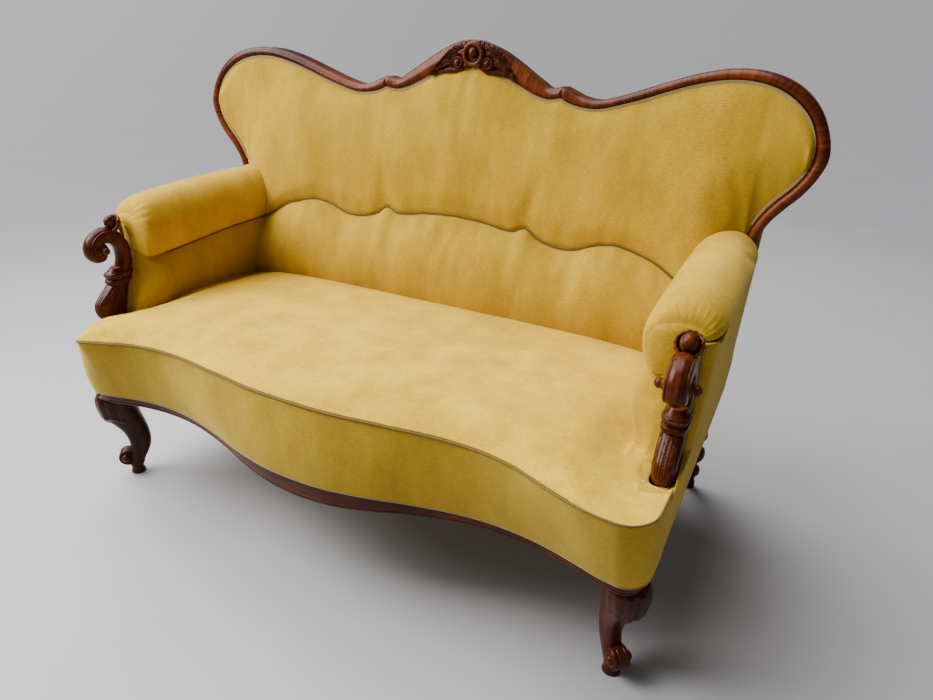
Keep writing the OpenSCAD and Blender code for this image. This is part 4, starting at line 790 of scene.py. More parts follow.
# Padded cloth is blown up a little with its sewn edges held. Each point's move is shortened to the cap, then
# averaged with its neighbours' a few times
def plump(piece, held, cap, pressure, slack=plumping["slack"]):
    mesh = piece.data
    count = len(mesh.vertices)
    before = vertexPlaces(mesh)
    group = piece.vertex_groups.new(name="sewn")
    group.add([int(k) for k in np.flatnonzero(held)], 1.0, "REPLACE")
    cloth = piece.modifiers.new("plump", "CLOTH")
    s = cloth.settings
    s.quality = plumping["quality"]
    s.mass = plumping["mass"]
    s.tension_stiffness = plumping["stretch"]
    s.compression_stiffness = plumping["stretch"]
    s.shear_stiffness = plumping["shear"]
    s.bending_stiffness = plumping["bend"]
    s.shrink_min = -slack
    s.use_pressure = True
    s.uniform_pressure_force = pressure
    s.vertex_group_mass = "sewn"
    s.effector_weights.gravity = 0.0
    cloth.collision_settings.use_self_collision = False
    cloth.collision_settings.use_collision = False
    cloth.point_cache.frame_start = 1
    cloth.point_cache.frame_end = plumping["frames"]
    scene = bpy.context.scene
    for step in range(1, plumping["frames"] + 1):
        scene.frame_set(step)
    shown = piece.evaluated_get(bpy.context.evaluated_depsgraph_get())
    move = vertexPlaces(shown.data) - before
    size = np.linalg.norm(move, axis=1, keepdims=True)
    move *= np.minimum(1.0, cap * mm / np.maximum(size, 1e-9))
    move[held] = 0
    a, b, many = neighbours(mesh)
    for _ in range(plumping["smoothings"]):
        around = np.stack([np.bincount(a, move[b, k], minlength=count) for k in range(3)], 1) / many[:, None]
        move = np.where(held[:, None], 0, (move + around) / 2)
    piece.modifiers.remove(cloth)
    piece.vertex_groups.remove(group)
    mesh.vertices.foreach_set("co", (before + move).astype(np.float32).ravel())
    mesh.update()
    scene.frame_set(1)
    print(piece.name, "plumped by up to", round(float(size.max()) * 1000, 1), "mm before the cap")


# Places between stops, evenly spaced in each stretch and no further apart than the gap
def columns(stops, gap):
    parts = [np.linspace(a, b, max(2, int(math.ceil((b - a) / gap)) + 1))[:-1] for a, b in zip(stops[:-1], stops[1:])]
    return np.concatenate(parts + [[stops[-1]]])


# Upper pad: columns from its lower to its upper edge, crowded towards both by a cosine, on the back's face less the
# pad's height, the swell beside the seam and a small sine pucker; then straight down its flat rear
def upperPadPoints():
    p = backPads
    tip = lobeInner[widest, 0] - 2.5
    half = np.concatenate([columns([0, p["endFrom"]], p["columnGap"]), columns([p["endFrom"] + 3, lobeStart - 1], 5),
                           columns([lobeStart + 1.5, tip - p["tip"]], 7),
                           tip - p["tip"] + p["tip"] * np.sin(np.radians(np.linspace(12, 90, 9)))])
    x = np.concatenate([-half[:0:-1], half])
    low, high = upperLow(x) + 0.3, topZ(x) - 0.4
    v = (1 - np.cos(np.pi * np.linspace(0, 1, p["upperRows"]))) / 2
    z = lerp(low[:, None], high[:, None], v[None, :])
    xx = np.broadcast_to(x[:, None], z.shape)
    a, b = p["fade"]
    middle = 1 - ease((np.abs(xx) / sofa["backHalf"] - a) / (b - a))
    rise = upperForward(xx, np.broadcast_to(v[None, :], z.shape))
    puff = seamSwell(z - low[:, None]) * middle
    pucker = 0.7 * np.sin(xx / p["pleat"]) * np.exp(-(z - low[:, None]) / 13) * middle * (z - low[:, None] > 1)
    front = np.stack([xx, backFace(xx, z) - rise - puff - pucker, z], -1)
    rear = np.stack([np.stack([x, backFace(x, zz) + p["thick"], zz], -1) for zz in (high, low)], 1)
    return np.concatenate([front, rear], axis=1)


# Lower pad: the same way, from the seat up to the seam, its points crowded by a sine towards the seam
def lowerPadPoints():
    p = backPads
    half = columns([0, p["side"]], p["columnGap"])
    x = np.concatenate([-half[:0:-1], half])
    high = seamAt(x) - 0.3
    w = np.sin(np.linspace(0, np.pi / 2, p["lowerRows"]))
    z = lerp(p["low"], high[:, None], w[None, :])
    xx = np.broadcast_to(x[:, None], z.shape)
    down = high[:, None] - z
    pucker = 0.6 * np.sin(xx / p["pleat"] + 1) * np.exp(-down / 11) * (down > 1)
    front = np.stack([xx, backFace(xx, z) - lowerForward(xx, z) - seamSwell(down) * 1.1 - pucker, z], -1)
    rear = np.stack([np.stack([x, backFace(x, zz) + p["thick"], zz], -1) for zz in (high, 0 * high + p["low"])], 1)
    return np.concatenate([front, rear], axis=1)


# The held points of a pad: its sewn edges, its flat back and its end caps
def heldPoints(points, frontRows, edge=1):
    m, n = points.shape[:2]
    held = np.zeros((m, n), bool)
    held[:, :edge] = True
    held[:, frontRows - edge:] = True
    held[:edge], held[-edge:] = True, True
    return np.concatenate([held.ravel(), [True, True]])


points = upperPadPoints()
piece = gridPiece("upperBackPad", points, velvet, replaces=["upper_back_pad"])
outer = np.abs(points[:, :, 0]).ravel() > backPads["side"] - 20
held = heldPoints(points, backPads["upperRows"])
held[:len(outer)] |= outer & (points[:, :, 2].ravel() < sofa["armTop"] + 10)
plump(piece, held, backPads["cap"], backPads["pressure"])
points = lowerPadPoints()
piece = gridPiece("lowerBackPad", points, velvet, replaces=["lower_back_pad"])
plump(piece, heldPoints(points, backPads["lowerRows"]), backPads["cap"], backPads["pressure"])

# A double cord along the frame's inner line, and a finer one along the seam
cords = {
    "edgeR": 1.45, "edgeOut": 2.6, "edgeIn": 1.6, "seamR": 1.15, "seamDown": 3.4, "seamOut": 1.2,
    "seatR": 2.1, "footR": 1.7, "facingR": 1.3,
}
line = evenly(bothHalves(np.vstack([crestInner[:-1], lobeInner[:-14]])), 1500)
onPads = backFace(line[:, 0], line[:, 1]) - backPads["edgeRise"] - cords["edgeOut"]
along = directions(line)
aside = np.stack([along[:, 1], 0 * along[:, 0], -along[:, 0]], -1)
path = np.stack([line[:, 0], onPads, line[:, 1]], -1) + aside * cords["edgeIn"]
doubleCord("backFrameCord", path, cords["edgeR"], aside, (0, 1, 0), cordCloth, ["back_frame_cord"])
x = np.linspace(-backPads["side"] + 14, backPads["side"] - 14, 560)
z = seamAt(x)
path = np.stack([x, lowerFace(x, z - cords["seamDown"]) - cords["seamOut"], z], -1)
aside = np.tile([0.0, 0.0, 1.0], (len(x), 1))
doubleCord("backSeamPiping", path, cords["seamR"], aside, (0, 1, 0), seamCloth, ["back_seam_piping"])
print("back pads made")

# Seat cushion, front border and their cords

arm = {
    "x": 707.0, "toe": math.radians(1.9), "width": 136.0, "rollOut": 46.24, "rollH": 133.0, "rollZ": 587.0,
    "coverFront": 143.5, "clear": 2.0, "seamDrop": 12.0,
}


# An arm's own frame starts on the line of the front feet and is turned by the toe. worldX gives the place across the
# sofa of a point in it, and armY how far along the arm a line across the sofa meets it
def worldX(x, y):
    return arm["x"] + x * math.cos(arm["toe"]) - y * math.sin(arm["toe"])


def armY(worldY, x):
    return (worldY - sofa["feetY"] - x * math.sin(arm["toe"])) / math.cos(arm["toe"])


# From an arm's own frame, feet line and outwards, to the sofa's
def onArm(side, points):
    x, y, z = points[..., 0], points[..., 1], points[..., 2]
    wx = arm["x"] + x * math.cos(arm["toe"]) - y * math.sin(arm["toe"])
    wy = sofa["feetY"] + x * math.sin(arm["toe"]) + y * math.cos(arm["toe"])
    return np.stack([side * wx, wy, z], -1)


# Where the seat's cloth goes down beside the inner arm pad
def sideX(y):
    return worldX(-seat["padX"], y - sofa["feetY"])


innerPad = {
    "profile": [[0, 0.84], [0.2, 0.94], [0.45, 1.0], [0.7, 0.99], [0.88, 0.955], [0.96, 0.92], [1, 0.88]],
    "low": 431.0, "high": 583.0, "bulge": 81.6, "skin": 19.5, "back": -13.9, "puff": 66.0, "gap": 3.2,
    "rows": 36, "columns": 76, "cap": 4.0, "pressure": 4.0,
    "belly": 14.0, "bellyAt": 42.0, "bellyWide": 52.0, "bellyLow": 446.0, "bellyHigh": 137.0,
}

seat = {
    "crown": 24.0, "fall": 45.0, "run": 78.0, "draw": 11.0, "drawShare": 0.86, "rise": 2.9, "tuck": 5.0,
    "underZ": 452.1, "slopeFrom": -278.0, "slope": 0.088, "rows": 68, "frontRows": 42, "columnGap": 9.0,
    "cap": 6.0, "pressure": 4.0, "backZ": 436.9, "sideHalf": 733.5, "round": 2.8, "padX": 82.6, "padRun": 72.0,
    "flat": 0.95, "flatFrom": 560.0, "flatRun": 130.0, "dip": 14.0, "padStart": 104.0, "middle": -150.0, "tuckX": 641.0,
    "sag": 34.0, "sagFrom": 596.0, "sagRun": 78.0, "sagWide": 66.0, "endTuck": 12.0,
    "facingX": 705.2, "facingHalf": 18.0, "facingMid": 58.5, "facingDeep": 34.8,
}
pipingPlan = edgePlan(seatEdge["piping"], seatEdge["pipingHalf"], 0, seatEdge["draw"])
footPlan = edgePlan(seatEdge["foot"], seatEdge["footHalf"], 0, seatEdge["footDraw"])


# How far the slack left corner has sunk, along the edge of the seat
def slackDrop(x):
    return seat["sag"] * ease((-x - seat["sagFrom"]) / seat["sagRun"])


# How far back the cushion reaches: just short of the lower pad
def seatBackLimit(x):
    return lowerFace(x, seat["backZ"]) - 0.6


# Shortest distance from points to a plan's line
def edgeDistance(x, y, plan):
    a, step = plan[:-1], np.diff(plan, axis=0)
    away = np.stack([x.ravel(), y.ravel()], 1)[:, None] - a[None]
    t = clamp((away * step).sum(2) / np.maximum((step**2).sum(1), 1e-9))
    return np.linalg.norm(away - t[:, :, None] * step, axis=2).min(axis=1).reshape(x.shape)


# Seat top: quarter-round rise from the piping, then a slow fall to the back by a power of the way there; less the
# slack corner's sag, the draw along the arms, and a dip that fades as a bell curve away from the facing's foot
def seatTop(x, y, yFront, span, s, plan, side):
    c = seat
    inside = edgeDistance(x, y, plan)
    d = clamp(inside / c["run"])
    sag = slackDrop(side * x) * clamp(1 - inside / c["sagWide"]) ** 2.0
    drawn = clamp((s - c["drawShare"]) / (1 - c["drawShare"])) ** 2
    ax = np.abs(x)
    flat = 1 - c["flat"] * ease((ax - c["flatFrom"]) / c["flatRun"]) * ease((-10 - y) / 160)
    dx, dy = np.abs(ax - c["facingX"]), np.abs(y - sofa["feetY"] - c["facingMid"])
    size = ((dx / c["facingHalf"]) ** c["round"] + (dy / c["facingDeep"]) ** c["round"]) ** (1 / c["round"])
    away = np.maximum(0, 1 - 1 / np.maximum(size, 1)) * np.hypot(dx, dy)
    dip = c["dip"] * np.exp(-(away / 25) ** 2) * ease((ax - 652) / 30) * ease((y + 322) / 30)
    return (sofa["seatZ"] + c["rise"] * flat + c["crown"] * flat * np.sqrt(1 - (1 - d) ** 2) - dip - sag
            - c["fall"] * clamp((y - yFront) / span) ** 1.3
            - c["draw"] * drawn * clamp((y - sofa["feetY"]) / c["run"]))


# Where the cushion ends in front of the carving: it hugs the front of the facing's rounded foot
def seatRear(x, lastX):
    c = seat
    q = clamp(np.abs(x - c["facingX"]) / c["facingHalf"])
    hug = sofa["feetY"] + c["facingMid"] - c["facingDeep"] * (1 - q ** c["round"]) ** (1 / c["round"])
    q = clamp((c["facingX"] - innerPad["skin"] - x) / (c["padRun"] - innerPad["skin"]))
    along = sofa["feetY"] + c["padStart"] + innerPad["puff"] * (1 - np.sqrt(1 - q**2))
    hug = np.where(x < c["facingX"] - c["facingHalf"], along, hug)
    wrapped = sofa["feetY"] + c["facingMid"] + c["facingDeep"]
    hug = np.where(x > c["facingX"] + c["facingHalf"] - 0.5, wrapped, hug)
    return np.where(lastX > 730, hug, lerp(hug, seatEdge["sideEnd"] - 0.6, ease((x - lastX + 4) / 4)))


# Half the cushion, each row running back from the piping in two stretches, the front one with its points crowded
# forward by a power, and home along the underside; inside the arms its columns lean with the inner pads
def seatHalf(plan, lastX, side):
    c = seat
    x0 = sideX(sofa["front"])
    inner = columns([0, 1], c["columnGap"] / x0)
    wide = np.concatenate([columns([x0 + 0.5, c["facingX"] - c["facingHalf"] - 1], 6),
                           c["facingX"] - c["facingHalf"] * np.cos(np.radians(np.linspace(0, 90, 12))),
                           np.linspace(c["facingX"], lastX, 14)[1:]])
    wide = np.sort(wide[wide <= lastX + 1e-6])
    at = np.concatenate([inner * x0, wide])[:, None]
    s = np.concatenate([inner, np.full(len(wide), 2.0)])[:, None]
    extra = np.concatenate([0 * inner, wide - x0])[:, None]
    tucked = wide < c["tuckX"]
    yBack = np.concatenate([seatBackLimit(inner * sideX(179.0)),
                            np.where(tucked, seatBackLimit(sideX(179.0)), seatRear(wide, lastX))])[:, None]
    yMid = np.minimum(c["middle"], np.concatenate([np.full(len(inner), 1e3), seatRear(wide, lastX)])[:, None] - 2)
    order = np.argsort(plan[:, 0])
    yFront = np.interp(at[:, 0], plan[order, 0], plan[order, 1])[:, None]
    span = seatBackLimit(0.0) - yFront[0]
    r = np.concatenate([np.linspace(0, 1, c["frontRows"])[:-1] ** 1.5,
                        np.linspace(1, 2, c["rows"] - c["frontRows"] + 1)])[None, :]
    y = np.where(r <= 1, lerp(yFront, yMid, r), lerp(yMid, yBack, r - 1))
    r = clamp(r)
    scale = np.minimum(s, 1.0)
    x = scale * sideX(y) + extra
    x = x + (at - (scale * sideX(yFront) + extra)) * (1 - r) ** 1.5
    z = seatTop(x, y, yFront, span, s, plan, side)
    under = np.minimum(yFront + c["tuck"], lerp(yFront, yBack, 0.3))
    mid = np.maximum(under, np.minimum(c["slopeFrom"], yBack - 0.5))
    lower = []
    for yy in (yBack, mid, under):
        lowZ = c["underZ"] + 0.6 - np.maximum(0, yy - c["slopeFrom"]) * c["slope"]
        lowX = scale * sideX(yy) + extra
        lowZ = np.minimum(lowZ, seatTop(lowX, yy, yFront, span, s, plan, side) - 4)
        lower.append(np.concatenate([lowX, yy, lowZ], 1)[:, None, :])
    return np.concatenate([np.stack([x, y, z], -1)] + lower, axis=1)


# The whole cushion: the left half on the slack plan, mirrored, and the right half
def seatPoints():
    plan = edgeHalf(seatEdge["piping"], seatEdge["pipingHalf"], 0.6)
    slack = drawnIn(plan, seatEdge["draw"])
    left = seatHalf(slack, slack[-1, 0] - 3.0, -1)
    return np.concatenate([left[:0:-1] * [-1, 1, 1], seatHalf(plan, seat["sideHalf"], 1)], axis=0)


points = seatPoints()
piece = gridPiece("seatCushion", points, seatVelvetPaintedLit, replaces=["seat_cushion"])
held = heldPoints(points, seat["rows"])
held[:-2] |= np.abs(points[:, :, 0]).ravel() > 600
plump(piece, held, seat["cap"], seat["pressure"])

# The stuffing under the cushion, its upper side packed lower by the carvings where the cushion dips
stuffing = {"drop": 30.0, "from": 610.0, "run": 50.0, "above": 0.425}
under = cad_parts["seat_stuffing"].data.copy()
under.materials.clear()
spots = vertexPlaces(under)
packed = ease((np.abs(spots[:, 0]) / mm - stuffing["from"]) / stuffing["run"])
spots[:, 2] -= stuffing["drop"] * mm * packed * (spots[:, 2] > stuffing["above"])
under.vertices.foreach_set("co", spots.ravel())
under.update()
finishPiece("seatStuffing", under, linenCloth, 30, ["seat_stuffing"])

border = {"bulge": 7.0, "rows": 30, "topZ": 452.1, "lowZ": 283.0, "pucker": 0.8}


# Front border: straight lines from the foot line up to the piping line, pushed out by a sine bulge and puckered by a
# small sine along the piping, its back flat on the rail
def borderPoints():
    b = border
    face = edgePlan(seatEdge["foot"], seatEdge["footHalf"], seatEdge["coverT"], seatEdge["footDraw"])
    deep = seatEdge["coverT"] + seatEdge["railT"]
    back = edgePlan(seatEdge["foot"], seatEdge["footHalf"], deep, seatEdge["footDraw"])
    out = footPlan - face
    out /= np.linalg.norm(out, axis=1, keepdims=True)
    k = np.linspace(0, 1, b["rows"])[None, :, None]
    plan = lerp(footPlan[:, None], pipingPlan[:, None], k**1.15)
    wave = b["pucker"] * np.sin(np.arange(len(footPlan)) / 3.1)[:, None, None] * np.exp(-((1 - k) / 0.09) ** 2)
    plan = plan + out[:, None] * (b["bulge"] * np.sin(np.pi * k**0.8) - wave)
    topZ = (b["topZ"] - slackDrop(pipingPlan[:, 0]))[:, None]
    z = lerp(b["lowZ"], topZ[:, None], k) + 0 * plan[:, :, :1]
    front = np.concatenate([plan, z], axis=2)
    rear = []
    near = lerp(footPlan, face, 0.97)
    for q, zz in ((lerp(face, back, 0.985), topZ), (lerp(face, back, 0.985), sofa["railZ"] + 0.4),
                  (near, sofa["railZ"] + 0.4), (near, b["lowZ"])):
        rear.append(np.concatenate([q, zz + np.zeros((len(q), 1))], 1)[:, None])
    return np.concatenate([front] + rear, axis=1)


piece = gridPiece("frontBorder", borderPoints(), borderVelvetPaintedShade, replaces=["front_border"])

# The seat's piping; on the slack side its end is tucked down beside the cushion
line = evenly(edgePlan(seatEdge["piping"], seatEdge["pipingHalf"], -0.8, seatEdge["draw"]), 900)
tuckedEnd = seat["endTuck"] * ease((line[:, 1] + 322) / 14) * (line[:, 0] < 0)
path = np.column_stack([line, sofa["seatZ"] - slackDrop(line[:, 0]) - tuckedEnd])
gridPiece("seatPiping", tubePoints(path, cords["seatR"], 12), pipingCloth, replaces=["seat_piping"])
line = evenly(edgePlan(seatEdge["foot"], seatEdge["footHalf"], 1.2, seatEdge["footDraw"]), 900)
path = np.concatenate([line, np.full((len(line), 1), seatEdge["footZ"] - 2.1)], 1)
gridPiece("borderCord", tubePoints(path, cords["footR"], 12), cordCloth, replaces=["border_cord"])
print("seat made")

# Front rail

rail = {
    "lipIn": 16.0,
    # The lip's section: depth behind the face and height over the lower edge
    "lip": [[16, 0.0], [9, 0.0], [5, 0.4], [2.4, 1.6], [0.8, 3.8], [0.2, 6.0], [0.9, 7.6], [1.2, 8.8], [0.4, 10.2],
            [0.1, 14.0], [0.0, 20.0]],
}


# Front rail: one closed section carried along the plan, its moulded lip riding on the waved lower edge
def railPoints():
    e = seatEdge
    face, lip, back = (edgePlan(e["foot"], e["footHalf"], e["coverT"] + inset, e["footDraw"])
                       for inset in (0, rail["lipIn"], e["railT"]))
    low = sofa["legZ"] - e["apronDrop"] * follow(e["apron"], clamp(np.abs(face[:, 0]) / sofa["seatHalf"]))
    inward = (lip - face) / rail["lipIn"]
    rows = []
    for depth, rise in rail["lip"]:
        rows.append(np.column_stack([face + inward * depth, low + rise]))
    rows.append(np.column_stack([face, 0 * low + e["footZ"] - 6]))
    for q, zz in ((face, sofa["railZ"]), (back, sofa["railZ"]), (back, sofa["legZ"] + 0.5), (lip, sofa["legZ"] + 0.5)):
        rows.append(np.column_stack([q, 0 * low + zz]))
    return np.stack(rows, axis=1)


gridPiece("frontRail", railPoints(), railWalnut, smooth=40, replaces=["front_rail"])
print("front rail made")

# Arms: rolls, inner pads, outer cloth and pipings

facing = {
    "rows": [[0, 0.33, 0.72, 0.86], [0.03, 0.22, 0.76, 0.98], [0.085, 0.16, 0.8, 1.08], [0.15, 0.145, 0.835, 1.12],
             [0.2, 0.18, 0.875, 1.12], [0.255, 0.29, 0.92, 1.12], [0.3, 0.4, 0.955, 1.1], [0.335, 0.49, 0.985, 1.06],
             [0.355, 0.54, 1.0, 1.03], [0.362, 0.52, 1.03, 1.2], [0.397, 0.52, 1.05, 1.22], [0.409, 0.56, 1.05, 1.08],
             [0.421, 0.56, 1.06, 1.08], [0.431, 0.53, 1.09, 1.2], [0.467, 0.54, 1.1, 1.2], [0.48, 0.6, 1.1, 1.04],
             [0.52, 0.68, 1.12, 0.8]],
    "back": [[0, 0.72], [0.15, 0.835], [0.27, 0.92], [0.383, 1.0], [0.46, 1.09], [0.55, 1.13], [0.7, 1.16],
             [0.86, 1.12], [0.93, 1.08], [1.02, 0.96]],
    "path": [[99, 522, 15], [110, 543, 15.5], [119, 564, 16], [121, 585, 16.5], [118, 603, 16.5], [109, 619, 17],
             [95, 631, 17.5], [77, 636, 18], [59, 631, 17.5], [46, 619, 16.5], [41, 603, 15], [47, 590, 12.5],
             [58, 586, 10], [66, 593, 8], [65, 602, 6], [60, 604, 4]],
    "bandWide": 20.5, "bandRidge": 1.6, "bandCut": 2.4, "bandCutAt": 0.72, "waist": 0.22,
    "low": 425.0, "high": 243.0, "deep": 120.0, "wide": 38.0, "sides": 96, "square": 2.8, "steps": 7,
    "flutes": [[0.0, 0.075, 1.9], [0.2, 0.03, 1.3], [0.52, 0.06, 2.2], [0.84, 0.05, 1.8]],
    "volute": {"y": 60.0, "z": 606.0, "floor": 18.0, "floorHalf": 13.0, "disc": 15.0, "discOut": 27.0, "knob": 9.0,
               "knobAt": 30.0},
    "shell": {"y": 115.0, "z": 657.0, "radius": 24.0, "ball": 16.5, "tilt": 30.0, "lip": 6.0},
    "beadLevel": 0.449, "beads": 22, "beadSize": (2.3, 2.3, 2.6),
    "pearlLevels": (0.075, 0.31), "pearls": 13, "pearlSize": (1.5, 1.6, 2.0),
}


# Back edge of the carving at a height, read off its table
def facingBack(z):
    place, back = np.array(facing["back"]).T
    return facing["deep"] * np.interp((z - facing["low"]) / facing["high"], place, back)


roll = {
    "section": [[0.13, 0], [0.12, 0.5], [0.02, 0.535], [0, 0.62], [0.03, 0.75], [0.12, 0.87], [0.26, 0.96], [0.44, 1],
                [0.63, 0.97], [0.8, 0.86], [0.93, 0.68], [1, 0.45], [0.98, 0.2], [0.9, 0]],
    "along": [[0, 0.7, 0.36], [0.01, 0.81, 0.56], [0.03, 0.9, 0.72], [0.065, 0.955, 0.84], [0.12, 0.985, 0.925],
              [0.22, 1, 0.97], [0.45, 1, 1], [0.7, 1, 1], [1, 1, 1]],
    "steps": 84, "pleatAt": (0.0, 652.0), "pleats": 13, "pleatDeep": 2.2, "puffed": 7.0, "cap": 4.0, "pressure": 4.0,
}


# Where a line along the arm meets the back pads
def armReach(x, z):
    y = np.full(np.shape(x), 480.0)
    for _ in range(4):
        wx = worldX(x, y)
        y = armY(np.minimum(padsFace(wx, z), backFace(wx, z) - 9.0), x)
    return y


# How far the seam between roll and inner pad has sunk towards the front, inside the arm's rail only
def seamDrop(x, y):
    return arm["seamDrop"] * ease((-x - 34) / 26) * (1 - ease((y - arm["coverFront"]) / 300))


# Arm roll: one section carried along the arm. It is narrowed and lowered towards the front by a table, closes over
# the front by a sine and a power of the cosine, and has sine pleats gathered over the carving
def rollPoints():
    r = roll
    line = lineThrough(r["section"], 5)
    along = np.array(r["along"])
    t = np.linspace(0, 1, r["steps"]) ** 1.9
    wide, tall = follow(along[:, [0, 1]], t), follow(along[:, [0, 2]], t)
    turn = np.radians(np.linspace(25, 90, 10))[:-1]
    close = np.concatenate([np.sin(turn), np.ones(r["steps"])])
    t = np.concatenate([0 * turn, t])
    wide = np.concatenate([0 * turn + wide[0], wide])
    tall = np.concatenate([0 * turn + tall[0], tall])
    puffOut = np.concatenate([-r["puffed"] * np.cos(turn) ** 1.5, np.zeros(r["steps"])])
    sx = lerp(0.5, line[:, 0][None, :], close[:, None])
    sz = lerp(0.5, line[:, 1][None, :], close[:, None])
    x = arm["rollOut"] - arm["width"] * lerp(0.5, sx, wide[:, None])
    upper = np.where(sz < 0.5, sz, lerp(0.5, sz, tall[:, None]))
    z = arm["rollZ"] + arm["rollH"] * upper
    end = armReach(x, z) - arm["clear"]
    y = lerp(arm["coverFront"], end, t[:, None]) + puffOut[:, None]
    z = z - seamDrop(x, y) * clamp(1 - upper / 0.5)
    angle = np.arctan2(z - r["pleatAt"][1], x - r["pleatAt"][0])
    gather = np.exp(-(y - arm["coverFront"] - 6) ** 2 / 420) * clamp((z - 655) / 12)
    fold = r["pleatDeep"] * np.sin(angle * r["pleats"] * 2) * gather
    return np.stack([x + 0.2 * fold * np.cos(angle), y, z + fold * 0.6], -1)


# Inner arm pad: level rings; from the cord on the carving the cloth swells as a quarter ellipse to its full width,
# with a bell-shaped belly behind the carving
def innerPadPoints():
    p = innerPad
    k = (1 - np.cos(np.pi * np.linspace(0, 1, p["rows"]))) / 2
    z = lerp(p["low"], p["high"], k)[:, None]
    full = p["bulge"] * follow(p["profile"], k)[:, None]
    start = facingBack(z) + p["gap"]
    y = lerp(start, armReach(-full, z) - arm["clear"], np.linspace(0, 1, p["columns"])[None, :] ** 1.9)
    swell = np.sqrt(1 - (1 - clamp((y - start) / p["puff"])) ** 2)
    belly = p["belly"] * np.exp(-((y - start - p["bellyAt"]) / p["bellyWide"]) ** 2)
    belly = belly * np.sin(np.pi * clamp((z - p["bellyLow"]) / p["bellyHigh"]))
    x = -lerp(p["skin"], full + belly, swell)
    front = np.stack([x, y, z - seamDrop(x, y) * k[:, None]], -1)
    backX = np.full_like(z, p["back"])
    rear = [np.stack([backX, yy, z], -1) for yy in (armReach(backX, z) - arm["clear"], start)]
    return np.concatenate([front] + rear, axis=1)


outerArm = {
    "lowX": 17.0, "lowZ": 283.0, "topZ": 653.2, "lean": 24.0, "bulge": 2.5, "thick": 4.4, "columns": 64,
    "edge": 17.5, "swell": 30.0, "tuck": 26.0, "tuckLong": 84.0, "turnLeft": 412.0, "turnRight": 447.0,
    "postY": 363.0, "rearLowY": 395.0, "rearTopY": 352.0,
}


# Cloth on the outside of the arm: a leaning sheet with a sine bulge. It starts at the seat's side end, and higher up
# on the carving's back edge, where it swells out as a quarter ellipse; on the slack side its front corner is tucked in
def outerArmPoints(side):
    o = outerArm
    z = np.concatenate([np.linspace(o["lowZ"], 400, 16), np.linspace(404, 461, 24), np.linspace(464, o["topZ"], 34)])
    rise = (z - o["lowZ"]) / (o["topZ"] - o["lowZ"])
    turn = o["turnRight"] if side > 0 else o["turnLeft"]
    over = ease((z - turn) / 12)
    front = lerp(armY(seatEdge["sideEnd"], 0) + 0.6, facingBack(z) + 4.6, over)
    rearLow, rearTop = armY(o["rearLowY"], o["lowX"]) - 0.6, armY(o["rearTopY"], o["lowX"] + o["lean"])
    k = np.linspace(0, 1, o["columns"])
    y = lerp(front[:, None], lerp(rearLow, rearTop, rise)[:, None], k[None, :] ** 1.6)
    x = o["lowX"] + o["lean"] * rise[:, None] + o["bulge"] * np.sin(np.pi * k)[None, :] * np.sin(np.pi * rise)[:, None]
    swell = np.sqrt(1 - (1 - clamp((y - front[:, None]) / o["swell"])) ** 2)
    x = lerp(x, lerp(o["edge"], x, swell), over[:, None])
    if side < 0:
        near = 1 - ease((y + 8) / o["tuckLong"])
        x = x - o["tuck"] * near * (ease((z - 372) / 34) * (1 - ease((z - 440) / 20)))[:, None]
    return np.stack([x, y, np.broadcast_to(z[:, None], y.shape)], -1)


def solid(piece, thick):  # a sheet's thickness, laid inwards from its face
    wall = piece.modifiers.new("cloth", "SOLIDIFY")
    wall.thickness = thick * mm
    wall.offset = -1.0
    wall.use_even_offset = True


# An open sheet turned so that its faces look the given way
def faceOut(piece, way):
    normals = np.empty(len(piece.data.polygons) * 3, np.float32)
    piece.data.polygon_normals.foreach_get("vector", normals)
    if normals.reshape(-1, 3).mean(axis=0) @ np.array(way) < 0:
        piece.data.flip_normals()
    return piece


